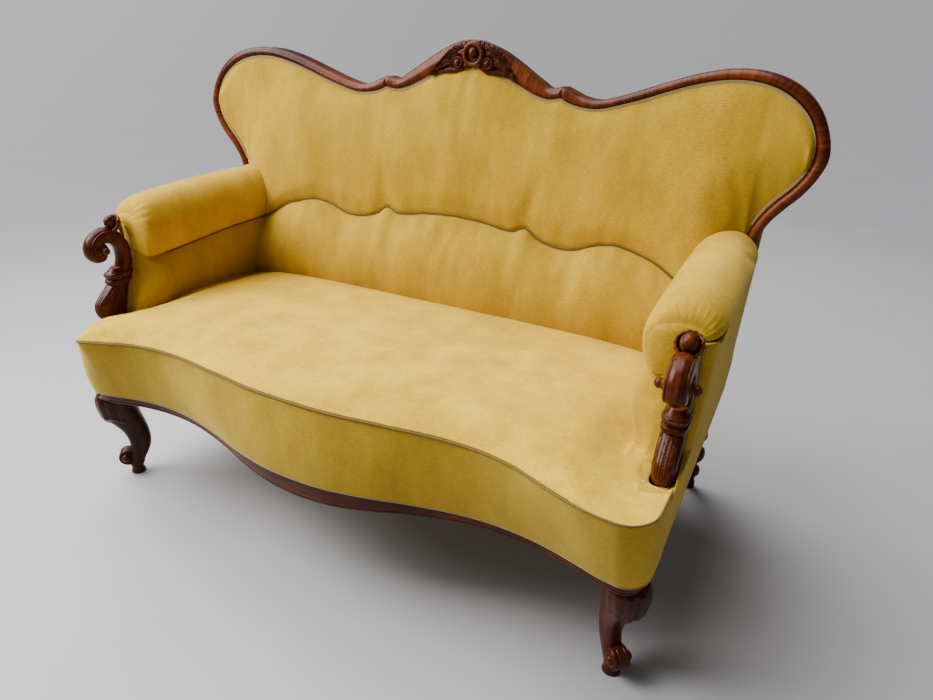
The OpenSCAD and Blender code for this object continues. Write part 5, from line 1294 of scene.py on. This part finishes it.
for side, word in ((-1, "left"), (1, "right")):
    points = onArm(side, rollPoints())
    piece = gridPiece(f"{word}ArmRoll", points, rollVelvetPaintedLit, replaces=[f"{word}_arm_roll"])
    low = points[:, :, 2].ravel() < arm["rollZ"] + 4
    held = np.concatenate([low, [False, True]])
    held[:14 * points.shape[1]] = True
    held[-3 * points.shape[1] - 2:] = True
    plump(piece, held, roll["cap"], roll["pressure"], plumping["armSlack"])
    points = onArm(side, innerPadPoints())
    piece = gridPiece(f"{word}InnerArmPad", points, padVelvetPaintedShade, turned=True,
                      replaces=[f"{word}_inner_arm_pad"])
    held = np.zeros(points.shape[:2], bool)
    held[:2], held[-2:], held[:, :3], held[:, -6:] = True, True, True, True
    held = np.concatenate([held.ravel(), [True, True]])
    plump(piece, held, innerPad["cap"], innerPad["pressure"], plumping["armSlack"])
    points = onArm(side, outerArmPoints(side))
    piece = gridPiece(f"{word}OuterArm", points, velvet, ring=False, replaces=[f"{word}_outer_arm"])
    solid(faceOut(piece, (side, 0, 0)), outerArm["thick"])
    innerX, outerX = arm["rollOut"] - arm["width"] * 0.9 - 1.4, outerArm["lowX"] + outerArm["lean"] + 2.0
    parts = []
    for k, (x, z) in enumerate(((innerX - 1.0, arm["rollZ"] - 1.6), (outerX, outerArm["topZ"] - 0.3))):
        y = np.linspace(arm["coverFront"] + (45 if k == 0 else 12), float(armReach(x, z)) - 2, 200)
        path = onArm(side, np.stack([x + 0 * y, y, z - seamDrop(x + 0 * y, y)], -1))
        tube = tubePoints(path, cords["footR"] * 0.85, 10)
        parts.append(gridPiece(f"{word}Piping{k}", tube, seamCloth))
    joined(f"{word}ArmPiping", parts, [f"{word}_arm_piping"])
    z = np.linspace(facing["low"] + 14, facing["low"] + facing["high"] * 0.93, 180)
    parts = []
    for k, x in enumerate((-15.2, 16.2)):
        for j, more in enumerate((0.0, 2.6)):
            path = onArm(side, np.stack([x + 0 * z, facingBack(z) + 1.2 + more, z], -1))
            tube = tubePoints(path, cords["facingR"], 8, (1, 0, 0))
            parts.append(gridPiece(f"{word}Facing{k}{j}", tube, cordCloth))
    joined(f"{word}FacingCord", parts, [f"{word}_facing_cord"])
print("arms made")

# Carved arm facings

def carvedPart(name, points, smooth=60):  # one part of a carved piece, before they are joined
    return gridPiece(name, points, carvedWalnut, smooth=smooth)


# Grooves cut in a face: each row is [place across the face, width, depth], the place being 0 in the middle
def grooves(table, q):
    cut = 0.0
    for at, wide, deep in table:
        cut = cut + deep * np.exp(-((np.abs(q) - at) / wide) ** 2)
    return cut


# A circle squared up: points of the unit circle divided by their length under a higher power
def squircle(angle, power):
    c, s = np.cos(angle), np.sin(angle)
    m = (np.abs(c) ** power + np.abs(s) ** power) ** (1 / power)
    return c / m, s / m


# Neck and bulb: squared rings set by a table of front, back and width, cut by flutes with a cosine swell between
def facingPoints():
    f = facing
    rows = lineThrough(f["rows"], f["steps"])
    h = rows[:, 0][:, None]
    mid, half = (rows[:, 1:2] + rows[:, 2:3]) / 2 * f["deep"], (rows[:, 2:3] - rows[:, 1:2]) / 2 * f["deep"]
    w = rows[:, 3:4] * f["wide"] / 2
    angle = np.linspace(-np.pi, np.pi, f["sides"], endpoint=False)[None, :]
    c, s = squircle(angle, f["square"])
    q = (angle + np.pi / 2) / (np.pi / 2)
    bulb = ease((h - 0.03) / 0.06) * ease((0.345 - h) / 0.03)
    front = clamp((1.25 - np.abs(q)) / 0.15)
    cut = front * bulb * grooves(f["flutes"], q)
    swell = front * bulb * 0.8 * np.cos(np.pi * q / 0.36) * (np.abs(q) < 0.9)
    inset = 1 - (cut - swell) / np.maximum(np.hypot(w * c, half * s), 4)
    waist = 1 - f["waist"] * bulb * ease((s + 0.3) / 0.3)
    x, y = w * c * inset * waist, mid + half * s * inset
    return np.stack([x, y, f["low"] + h * f["high"] + 0 * x], -1)


# The neck rises, leans forward and curls under into the volute: one band of squared section carried along its path,
# both its faces ridged in the middle and cut by two channels
def bandPoints():
    f = facing
    line = evenly(lineThrough(f["path"], 12), 150)
    along = directions(line[:, :2])
    angle = np.linspace(-np.pi, np.pi, 72, endpoint=False)[None, :]
    c, s = squircle(angle, 3.2)
    t = np.linspace(0, 1, len(line))[:, None]
    wide = f["bandWide"] * follow([[0, 0.9], [0.3, 1], [0.6, 1], [0.85, 0.94], [1, 0.82]], t)
    face = ease((np.abs(s) - 0.55) / 0.3)
    carve = f["bandRidge"] * ease((0.42 - np.abs(c)) / 0.1)
    carve = carve - f["bandCut"] * np.exp(-((np.abs(c) - f["bandCutAt"]) / 0.09) ** 2)
    half = line[:, 2:3]
    thick = half * s + np.sign(s) * face * carve * clamp(half / 9)
    y = line[:, :1] + along[:, 1:] * thick
    z = line[:, 1:2] - along[:, :1] * thick
    return np.stack([wide * c, y, z], -1)


# A turned button lying on its side: a disc with a rounded, twice stepped edge
def buttonPoints(y, z, radius, start, out, side):
    profile = np.array([[0.02, 0.0], [0.4, 0.0], [0.97, 0.0], [1.0, 0.3], [0.96, 0.6], [0.82, 0.72], [0.74, 0.62],
                        [0.66, 0.72], [0.6, 0.95], [0.5, 1.0], [0.02, 1.0]])
    t = ringAngles(48)
    r, x = profile[:, :1] * radius, lerp(start, out, profile[:, 1:])
    return np.stack([side * x + 0 * t, y + r * np.cos(t), z + r * np.sin(t)], -1)


# A scroll lying on its side: a grooved drum whose two ends carry a rising spiral band, a sine of the radius less the
# angle, and a domed eye
def scrollPoints(radius, width, eye, turns=2.2, band=0.30, sides=96, lip=2.2):
    half = width / 2
    r = np.concatenate([np.linspace(0.02, 0.98, 12) * eye, np.linspace(eye * 1.02, radius - 2.2, 30)])
    angle = ringAngles(sides)
    rr = r[:, None]
    pitch = (radius - eye) / turns
    dome = np.sqrt(np.maximum(eye**2 - rr**2, 0)) * 0.75
    spiral = np.abs(np.sin(np.pi * ((rr - eye) / pitch - angle / (2 * np.pi)))) ** 0.7
    away = clamp((rr - eye) / 2.0)
    near = clamp((radius - 2.2 - rr) / 3.0)
    relief = np.where(rr < eye, dome, 0.0) + away * (lip * spiral * near + 2.6 * clamp((radius - rr) / (radius - eye)))
    endX = half - 2.0 + relief
    u = np.linspace(1, -1, 61)[:, None]
    groove = 0.065 * np.exp(-((np.abs(u) - band * 1.45) / 0.11) ** 2)
    rim = radius * (1 - groove - 0.10 * clamp((np.abs(u) - 0.8) / 0.2) ** 2)
    x = np.vstack([endX, half * u + 0 * angle, -endX[::-1]])
    rad = np.vstack([rr + 0 * angle, rim + 0 * angle, rr[::-1] + 0 * angle])
    return x, rad * np.sin(angle), rad * np.cos(angle)


# Ball drawn from rings between its poles, with its own three half widths
def ballPoints(centre, sizes, rows=20, sides=28):
    a = np.radians(np.linspace(-87, 87, rows))[:, None]
    t = ringAngles(sides)
    return np.stack([centre[0] + sizes[0] * np.cos(a) * np.cos(t), centre[1] + sizes[1] * np.cos(a) * np.sin(t),
                     centre[2] + sizes[2] * np.sin(a) + 0 * t], -1)


# The same ball with a crease cut across it
def eggPoints(centre, sizes):
    points = ballPoints((0, 0, 0), (1, 1, 1), 36, 60)
    across = points @ np.array([0.55, 0.45, 0.70])
    points = points * (1 - 0.12 * np.exp(-((across - 0.12) / 0.09) ** 2))[..., None]
    return points * np.array(sizes) + np.array(centre)


# Points turned about the x axis and moved to their centre
def tipped(points, degrees, centre):
    a = math.radians(degrees)
    y, z = points[..., 1], points[..., 2]
    return np.stack([points[..., 0] + centre[0], centre[1] + y * math.cos(a) - z * math.sin(a),
                     centre[2] + y * math.sin(a) + z * math.cos(a)], -1)


# Cup under the ball: a turned dish whose rolled lip swells below and at its two horns and dies away above
def cupPoints(radius, lip):
    t = ringAngles(96)
    profile = np.array([[0.05, 2.2], [0.5, 2.6], [0.74, 3.6], [0.8, 6.4], [0.88, 8.4], [0.97, 8.6], [1.05, 6.8],
                        [1.08, 4.2], [1.02, 1.0], [0.9, -2.6], [0.6, -5.0], [0.1, -5.5]])
    k, rise = profile[:, :1], profile[:, 1:]
    below = 0.5 - 0.5 * np.sin(t)
    horns = np.exp(-((np.sin(t) - 0.35) / 0.3) ** 2)
    strong = clamp(0.25 + 0.75 * below + 0.45 * horns)
    r = radius * k * (1 + 0.05 * horns + 0.03 * np.cos(14 * t) * (k > 0.7)) * np.where(np.sin(t) > 0, 0.94, 1.0)
    z = np.where(rise > 3, 3 + (rise - 3) * lip / 4 * strong, rise) + 0 * t
    return np.stack([r * np.cos(t), r * np.sin(t), z], -1)


for side, word in ((-1, "left"), (1, "right")):
    f, v, h = facing, facing["volute"], facing["shell"]
    parts = [carvedPart(f"{word}Neck", onArm(side, facingPoints()), 45)]
    parts.append(carvedPart(f"{word}Band", onArm(side, bandPoints()), 45))
    # The volute's floor, with a turned button and a knob on either side
    t = ringAngles(56)
    deep = np.array([[-1.0, 0.9], [-0.96, 1.0], [0.96, 1.0], [1.0, 0.9]])
    disc = np.stack([deep[:, :1] * v["floorHalf"] + 0 * t, v["y"] + v["floor"] * deep[:, 1:] * np.cos(t),
                     v["z"] + v["floor"] * deep[:, 1:] * np.sin(t)], -1)
    parts.append(carvedPart(f"{word}Floor", onArm(side, disc)))
    for way in (-1, 1):
        button = buttonPoints(v["y"], v["z"], v["disc"], v["floorHalf"] - 2, v["discOut"], way)
        parts.append(carvedPart(f"{word}Button{way}", onArm(side, button), 50))
        knob = ballPoints((way * v["knobAt"], v["y"], v["z"]), (v["knob"], v["knob"], v["knob"]))
        parts.append(carvedPart(f"{word}Knob{way}", onArm(side, knob)))
    centre = (0.0, h["y"], h["z"])
    cup = tipped(cupPoints(h["radius"], h["lip"]), 90 - h["tilt"], centre)
    parts.append(carvedPart(f"{word}Shell", onArm(side, cup)))
    ball = eggPoints((0, 1.5, 8.0), (h["ball"] * 0.93, h["ball"] * 1.06, h["ball"] * 1.15))
    parts.append(carvedPart(f"{word}Ball", onArm(side, tipped(ball, 90 - h["tilt"], centre))))
    # A row of beads round the collar, and a row of pearls down the front of the bulb
    rows = lineThrough(f["rows"], f["steps"])
    row = rows[np.argmin(np.abs(rows[:, 0] - f["beadLevel"]))]
    c, s = squircle(np.linspace(-np.pi, 0, f["beads"]), f["square"])
    mid, half = (row[1] + row[2]) / 2 * f["deep"], (row[2] - row[1]) / 2 * f["deep"]
    for k in range(f["beads"]):
        at = (c[k] * (row[3] * f["wide"] / 2 - 0.2), mid + s[k] * (half - 0.2), f["low"] + f["beadLevel"] * f["high"])
        parts.append(carvedPart(f"{word}Bead{k}", onArm(side, ballPoints(at, f["beadSize"], 8, 10))))
    for k, level in enumerate(np.linspace(*f["pearlLevels"], f["pearls"])):
        at = (0.0, f["deep"] * np.interp(level, rows[:, 0], rows[:, 1]) + 1.0, f["low"] + level * f["high"])
        parts.append(carvedPart(f"{word}Pearl{k}", onArm(side, ballPoints(at, f["pearlSize"], 8, 10))))
    markHollows(joined(f"{word}ArmFacing", parts, [f"{word}_arm_facing"]))
print("arm facings carved")

# Cabriole front legs

frontLeg = {
    "rows": [[1.125, 0.52, -0.1, 0.3], [1.1, 0.56, -0.14, 0.34], [1.03, 0.62, -0.3, 0.42], [1.0, 0.7, -0.5, 0.54],
             [0.975, 0.75, -0.54, 0.57], [0.93, 0.775, -0.52, 0.58], [0.87, 0.775, -0.5, 0.56],
             [0.78, 0.72, -0.53, 0.49], [0.7, 0.58, -0.58, 0.4], [0.62, 0.37, -0.65, 0.33], [0.54, 0.18, -0.71, 0.29],
             [0.46, 0.07, -0.74, 0.265], [0.38, 0.02, -0.73, 0.25], [0.31, 0.03, -0.67, 0.25], [0.24, 0.1, -0.56, 0.25],
             [0.17, 0.18, -0.42, 0.24], [0.11, 0.2, -0.34, 0.22]],
    "reach": 72.0, "feetX": 672.0, "square": 2.6, "sides": 96, "steps": 9,
    "knee": (0.66, 0.985), "ribs": 6.0, "ribDeep": 3.0, "lip": 4.4,
    "scroll": {"at": 13.0, "z": 52.0, "radius": 22.5, "width": 32.0, "eye": 8.0, "ball": 11.0, "ballAt": 17.5},
    "pad": {"radius": 18.0, "at": -4.3,
            "profile": [[0.4, 0.0], [0.92, 0.0], [1.0, 0.8], [1.02, 3], [0.98, 6], [0.9, 10], [0.86, 16], [0.9, 24],
                        [0.8, 34], [0.4, 35]]},
}


# From a front leg's own frame, outwards along the corner's diagonal, to the sofa's
def onLeg(side, points):
    x, y, z = points[..., 0], points[..., 1], points[..., 2]
    half = math.sqrt(0.5)
    return np.stack([side * (frontLeg["feetX"] + (x + y) * half), sofa["feetY"] + (y - x) * half, z], -1)


# Cabriole leg: squared rings set by a table of front, back and width. The knee's panel stands up by a soft step with
# a scalloped lower lip, and is ribbed by a sine of the angle
def legPoints():
    g = frontLeg
    rows = lineThrough(g["rows"], g["steps"])
    h = rows[:, 0][:, None]
    mid, half = (rows[:, 1:2] + rows[:, 2:3]) / 2 * g["reach"], (rows[:, 1:2] - rows[:, 2:3]) / 2 * g["reach"]
    w = rows[:, 3:4] * g["reach"]
    angle = np.linspace(-np.pi, np.pi, g["sides"], endpoint=False)[None, :]
    c, s = squircle(angle, g["square"])
    q = angle / (np.pi / 2)
    front = ease((1.12 - np.abs(q)) / 0.12)
    low = g["knee"][0] + 0.06 * np.abs(np.cos(np.pi * q * 1.5))
    panel = ease((h - low) / 0.012) * ease((g["knee"][1] - h) / 0.03) * front
    hang = np.exp(-((h - low - 0.03) / 0.035) ** 2)
    ribs = np.abs(np.sin(np.pi * q * g["ribs"] / 2 + 0.5 * np.sin(9 * h))) ** 0.6
    fringe = 0.8 * np.sin(np.pi * q * 7) ** 2 * hang
    rise = panel * (g["lip"] * (0.45 + 0.9 * hang) - g["ribDeep"] * (1 - ribs) - fringe)
    grow = 1 + rise / np.maximum(np.hypot(half * c, w * s), 6)
    return np.stack([mid + half * c * grow, w * s * grow, h * sofa["legTop"] + 0 * c], -1)


for side, word in ((-1, "left"), (1, "right")):
    g, r, p = frontLeg, frontLeg["scroll"], frontLeg["pad"]
    parts = [carvedPart(f"{word}Shaft", onLeg(side, legPoints()), 50)]
    sx, sy, sz = scrollPoints(r["radius"], r["width"], r["eye"], turns=1.6)
    points = np.stack([r["at"] + sy * 0.98, sx, r["z"] + sz], -1)
    parts.append(carvedPart(f"{word}FootScroll", onLeg(side, points), 50))
    for way in (-1, 1):
        ball = ballPoints((r["at"] + 3, way * r["ballAt"], r["z"] + 2), (r["ball"], r["ball"] * 0.8, r["ball"]))
        parts.append(carvedPart(f"{word}FootBall{way}", onLeg(side, ball)))
    t = ringAngles(48)
    profile = lineThrough(p["profile"], 4)
    radius, z = profile[:, :1] * p["radius"], profile[:, 1:]
    foot = np.stack([p["at"] + radius * np.cos(t), radius * np.sin(t), z + 0 * t], -1)
    parts.append(carvedPart(f"{word}Toe", onLeg(side, foot), 50))
    markHollows(joined(f"{word}FrontLeg", parts, [f"{word}_front_leg"]))
print("front legs carved")

# Turned rear legs: a profile of height and radius spun once round, under a head of squared rings

rearLeg = {
    "x": 648.0, "y": 361.0, "head": 68.0, "headZ": 228.0, "turnX": 662.0,
    "profile": [[0.1, 11.5], [5, 12.5], [14, 13], [26, 11], [36, 12], [43, 18], [53, 20.5], [63, 18], [71, 12],
                [80, 13], [89, 21], [100, 25.5], [109, 26], [119, 24], [130, 15], [139, 14], [147, 20], [158, 25],
                [166, 25.5], [177, 22], [187, 14], [196, 15], [205, 20], [212, 20.5], [220, 16], [227, 16],
                [231, 16]],
}
for side, word in ((-1, "left"), (1, "right")):
    g = rearLeg
    t = ringAngles(56)
    profile = lineThrough(g["profile"], 5)
    z, r = profile[:, :1], profile[:, 1:]
    turned = np.stack([side * (g["turnX"] + r * np.cos(t)), g["y"] + r * np.sin(t), z + 0 * t], -1)
    parts = [gridPiece(f"{word}Turned", turned, turnedWalnut, smooth=50)]
    c, q = squircle(ringAngles(64), 9)
    level = np.array([[g["headZ"], 0.9], [g["headZ"] + 2, 0.98], [g["headZ"] + 5, 1.0], [sofa["legTop"], 1.0]])
    half = level[:, 1:] * (g["head"] / 2)
    head = np.stack([side * (g["x"] + half * c), g["y"] + half * q, level[:, :1] + 0 * c], -1)
    parts.append(gridPiece(f"{word}Head", head, turnedWalnut, smooth=40))
    joined(f"{word}RearLeg", parts, [f"{word}_rear_leg"])
print("rear legs turned")

# Crest carving

carving = {
    "leaves": [
        {"line": [[18, 1006], [40, 996], [62, 994], [86, 991], [106, 986], [118, 984]], "wide": 12.0, "thick": 7.0},
        {"line": [[52, 1014], [68, 1016], [86, 1009], [102, 998], [116, 990]], "wide": 14.0, "thick": 8.5},
        {"line": [[24, 1050], [42, 1050], [62, 1040], [80, 1026], [96, 1010], [106, 1003]], "wide": 13.0, "thick": 7.5},
        {"line": [[34, 1030], [52, 1034], [70, 1028], [86, 1016], [98, 1004]], "wide": 10.0, "thick": 9.0},
    ],
    "base": 9.3, "aside": 8.5,
    "ring": {"z": 1034.5, "radius": 23.5, "wire": 6.2, "ball": 13.5, "ballUp": 5.0, "ballHigh": 14.0},
    "eye": {"x": 41.0, "z": 1014.5, "radius": 15.5, "deep": 8.0, "spiral": 4.4, "pupil": 8.6, "pupilHigh": 13.5},
    "rays": [[13, 1065, 82], [24, 1063, 74], [35, 1060, 66], [46, 1056, 60], [57, 1050, 55], [67, 1043, 51],
             [76, 1036, 48]],
    "ray": {"half": 8.0, "wide": 3.0, "high": 4.2, "down": 7.0},
    "scallops": [[18, 1010], [-18, 1010]], "scallop": {"radius": 7.4, "high": 7.0, "ribs": 5},
}


# A leaf lies along its line: an ellipse across, ridged by a cosine, widest in its first third, its tip curling up
def leafPoints(leaf, side):
    line = evenly(lineThrough(leaf["line"], 8), 60)
    along = directions(line)
    t = np.linspace(0, 1, 60)[:, None]
    half = leaf["wide"] / 2 * follow([[0, 0.45], [0.25, 1], [0.6, 0.82], [0.88, 0.5], [1, 0.12]], t)
    half = half * (1 + 0.10 * np.sin(t * 30))
    s = np.linspace(-1, 1, 25)[None, :]
    x = line[:, :1] - along[:, 1:] * half * s
    z = line[:, 1:] + along[:, :1] * half * s
    curl = 3.5 * np.exp(-((t - 0.93) / 0.08) ** 2)
    ridge = np.sqrt(1 - s**2) * leaf["thick"] * (0.72 + 0.28 * np.cos(3 * np.pi * s))
    ridge = ridge * (0.4 + 0.6 * ease(t / 0.15)) * (1 - 0.35 * t) + curl
    top = np.stack([side * x, backFace(x, z) - carving["base"] - ridge, z], -1)
    under = np.stack([side * x, backFace(x, z) - carving["base"] + 1.5, z], -1)[:, ::-1]
    return np.concatenate([top, under[:, 1:-1]], axis=1)


# A round dome on the back's face: its height is the root of one less the radius squared. It may be lowered to half
# and wound with a spiral band, or ribbed by a cosine of the angle
def domePoints(x, z, radius, high, ribs=0, spiral=0.0, rows=22, sides=72, sink=1.5):
    t = ringAngles(sides)
    k = np.linspace(1, 0.03, rows)[:, None]
    px, pz = x + radius * k * np.cos(t), z + radius * k * np.sin(t)
    shape = np.sqrt(1 - k**2 * 0.98) * high
    if spiral:
        wound = np.abs(np.sin(np.pi * (k * 2.0 - t / (2 * np.pi)))) ** 0.7
        shape = shape * 0.55 + spiral * wound * clamp((1 - k) / 0.1)
    if ribs:
        shape = shape + 0.7 * np.cos(ribs * t) * k
    top = np.stack([px, backFace(px, pz) - carving["base"] - shape, pz], -1)
    edge = np.stack([px[:1], backFace(px[:1], pz[:1]) - carving["base"] + sink, pz[:1]], -1)
    return np.concatenate([edge, top], axis=0)


# A ray is a long grain lying on the face: an ellipse turned about its tilted line, its rear cut off level
def rayPoints(x, z, tilt, side):
    g, a = carving["ray"], np.radians(tilt)
    s, t = np.linspace(-1, 1, 14)[:, None], ringAngles(16)
    wide = g["wide"] * np.sqrt(1 - (0.97 * s) ** 2)
    px = side * (x + g["half"] * s * np.cos(a) - wide * np.cos(t) * np.sin(a))
    pz = z - g["down"] + g["half"] * s * np.sin(a) + wide * np.cos(t) * np.cos(a)
    high = g["high"] * np.sqrt(1 - (0.97 * s) ** 2) * np.maximum(np.sin(t), -0.3)
    return np.stack([px, backFace(px, pz) - carving["base"] + 1.0 - high, pz], -1)


# The ring round the boss: a wire with slight beads, its circle laid on the face
def ringPoints():
    r, t = carving["ring"], ringAngles(96)[0]
    line = np.stack([r["radius"] * np.cos(t), 0 * t, r["z"] + r["radius"] * np.sin(t)], -1)
    line[:, 1] = backFace(line[:, 0], line[:, 2]) - carving["base"] - 4.0
    a = ringAngles(18)[..., None]
    outward = np.stack([np.cos(t), 0 * t, np.sin(t)], -1)[:, None, :]
    wire = r["wire"] * (1 + 0.03 * np.cos(t * 20))[:, None, None]
    return line[:, None, :] + wire * (np.cos(a) * outward + np.sin(a) * np.array([0.0, 1.0, 0.0]))


parts = []
c, r, e, h = carving, carving["ring"], carving["eye"], carving["scallop"]
for side in (-1, 1):
    for k, leaf in enumerate(c["leaves"]):
        parts.append(carvedPart(f"leaf{side}{k}", leafPoints(leaf, side)))
    x = side * e["x"]
    parts.append(carvedPart(f"scrollEye{side}", domePoints(x, e["z"], e["radius"], e["deep"], 0, e["spiral"])))
    parts.append(carvedPart(f"pupil{side}", domePoints(x, e["z"], e["pupil"], e["pupilHigh"])))
    for k, ray in enumerate(c["rays"]):
        parts.append(carvedPart(f"ray{side}{k}", rayPoints(*ray, side)))
parts.append(gridPiece("bossRing", ringPoints(), carvedWalnut, wrapRows=True))
parts.append(carvedPart("bossFloor", domePoints(0, r["z"], r["radius"] + 1, 1.0)))
parts.append(carvedPart("bossBall", domePoints(0, r["z"] + r["ballUp"], r["ball"], r["ballHigh"])))
for k, (x, z) in enumerate(c["scallops"]):
    parts.append(carvedPart(f"scallop{k}", domePoints(x, z, h["radius"], h["high"], h["ribs"])))
carved = joined("crestCarving", parts, ["crest_carving"])
# The carving sits a little to the right of the middle
spots = vertexPlaces(carved.data) + np.array([carving["aside"] * mm, 0, 0], np.float32)
carved.data.vertices.foreach_set("co", spots.ravel())
carved.data.update()
markHollows(carved)
print("crest carved")

# Outside back

outsideBack = {
    "lowZ": 250.3, "cornerRise": 34.0, "jointX": 724.0, "jointZ": 653.0, "endX": 793.0, "lap": 7.0, "thick": 1.8,
    "rows": 70, "rearY": 395.0, "off": 0.3,
}


# Rear side of the back: the frame's rear above the arms, and a straight drop from there to the rear rail
def outsideY(x, z):
    rear = backShape["frameD"]
    lowY, highY = outsideBack["rearY"], backFace(x, sofa["jointZ"]) + rear
    drop = lerp(lowY, highY, clamp((z - sofa["railZ"]) / (sofa["jointZ"] - sofa["railZ"])))
    return np.where(z >= sofa["jointZ"], backFace(x, z) + rear, drop) + outsideBack["off"]


# Cloth on the outside of the back: straight columns between the outline's lower and upper edge, laid on that side
def outsidePoints():
    o = outsideBack
    low0 = worldX(outerArm["lowX"], armY(outerArm["postY"], outerArm["lowX"])) - 0.6
    half = np.concatenate([columns([0, low0], 10), columns([low0 + 1, o["jointX"]], 4),
                           columns([o["jointX"] + 3, o["endX"]], 5)])
    x = np.concatenate([-half[:0:-1], half])
    ax = np.abs(x)
    high = topZ(x) + o["lap"]
    corner = o["lowZ"] + o["cornerRise"] * ease((ax - low0 + 40) / 40)
    slant = lerp(o["lowZ"] + o["cornerRise"], o["jointZ"], clamp((ax - low0) / (o["jointX"] - low0)))
    low = np.where(ax <= low0 + 0.5, corner, slant)
    low = np.where(ax > o["jointX"] + 1, underZ(x) - o["lap"], low)
    z = lerp(low[:, None], high[:, None], np.linspace(0, 1, o["rows"])[None, :])
    xx = np.broadcast_to(x[:, None], z.shape)
    return np.stack([xx, outsideY(xx, z) + o["thick"], z], -1)


points = outsidePoints()
piece = gridPiece("outsideBack", points, velvet, ring=False, replaces=["outside_back"])
solid(faceOut(piece, (0, 1, 0)), outsideBack["thick"])
print("outside back made")
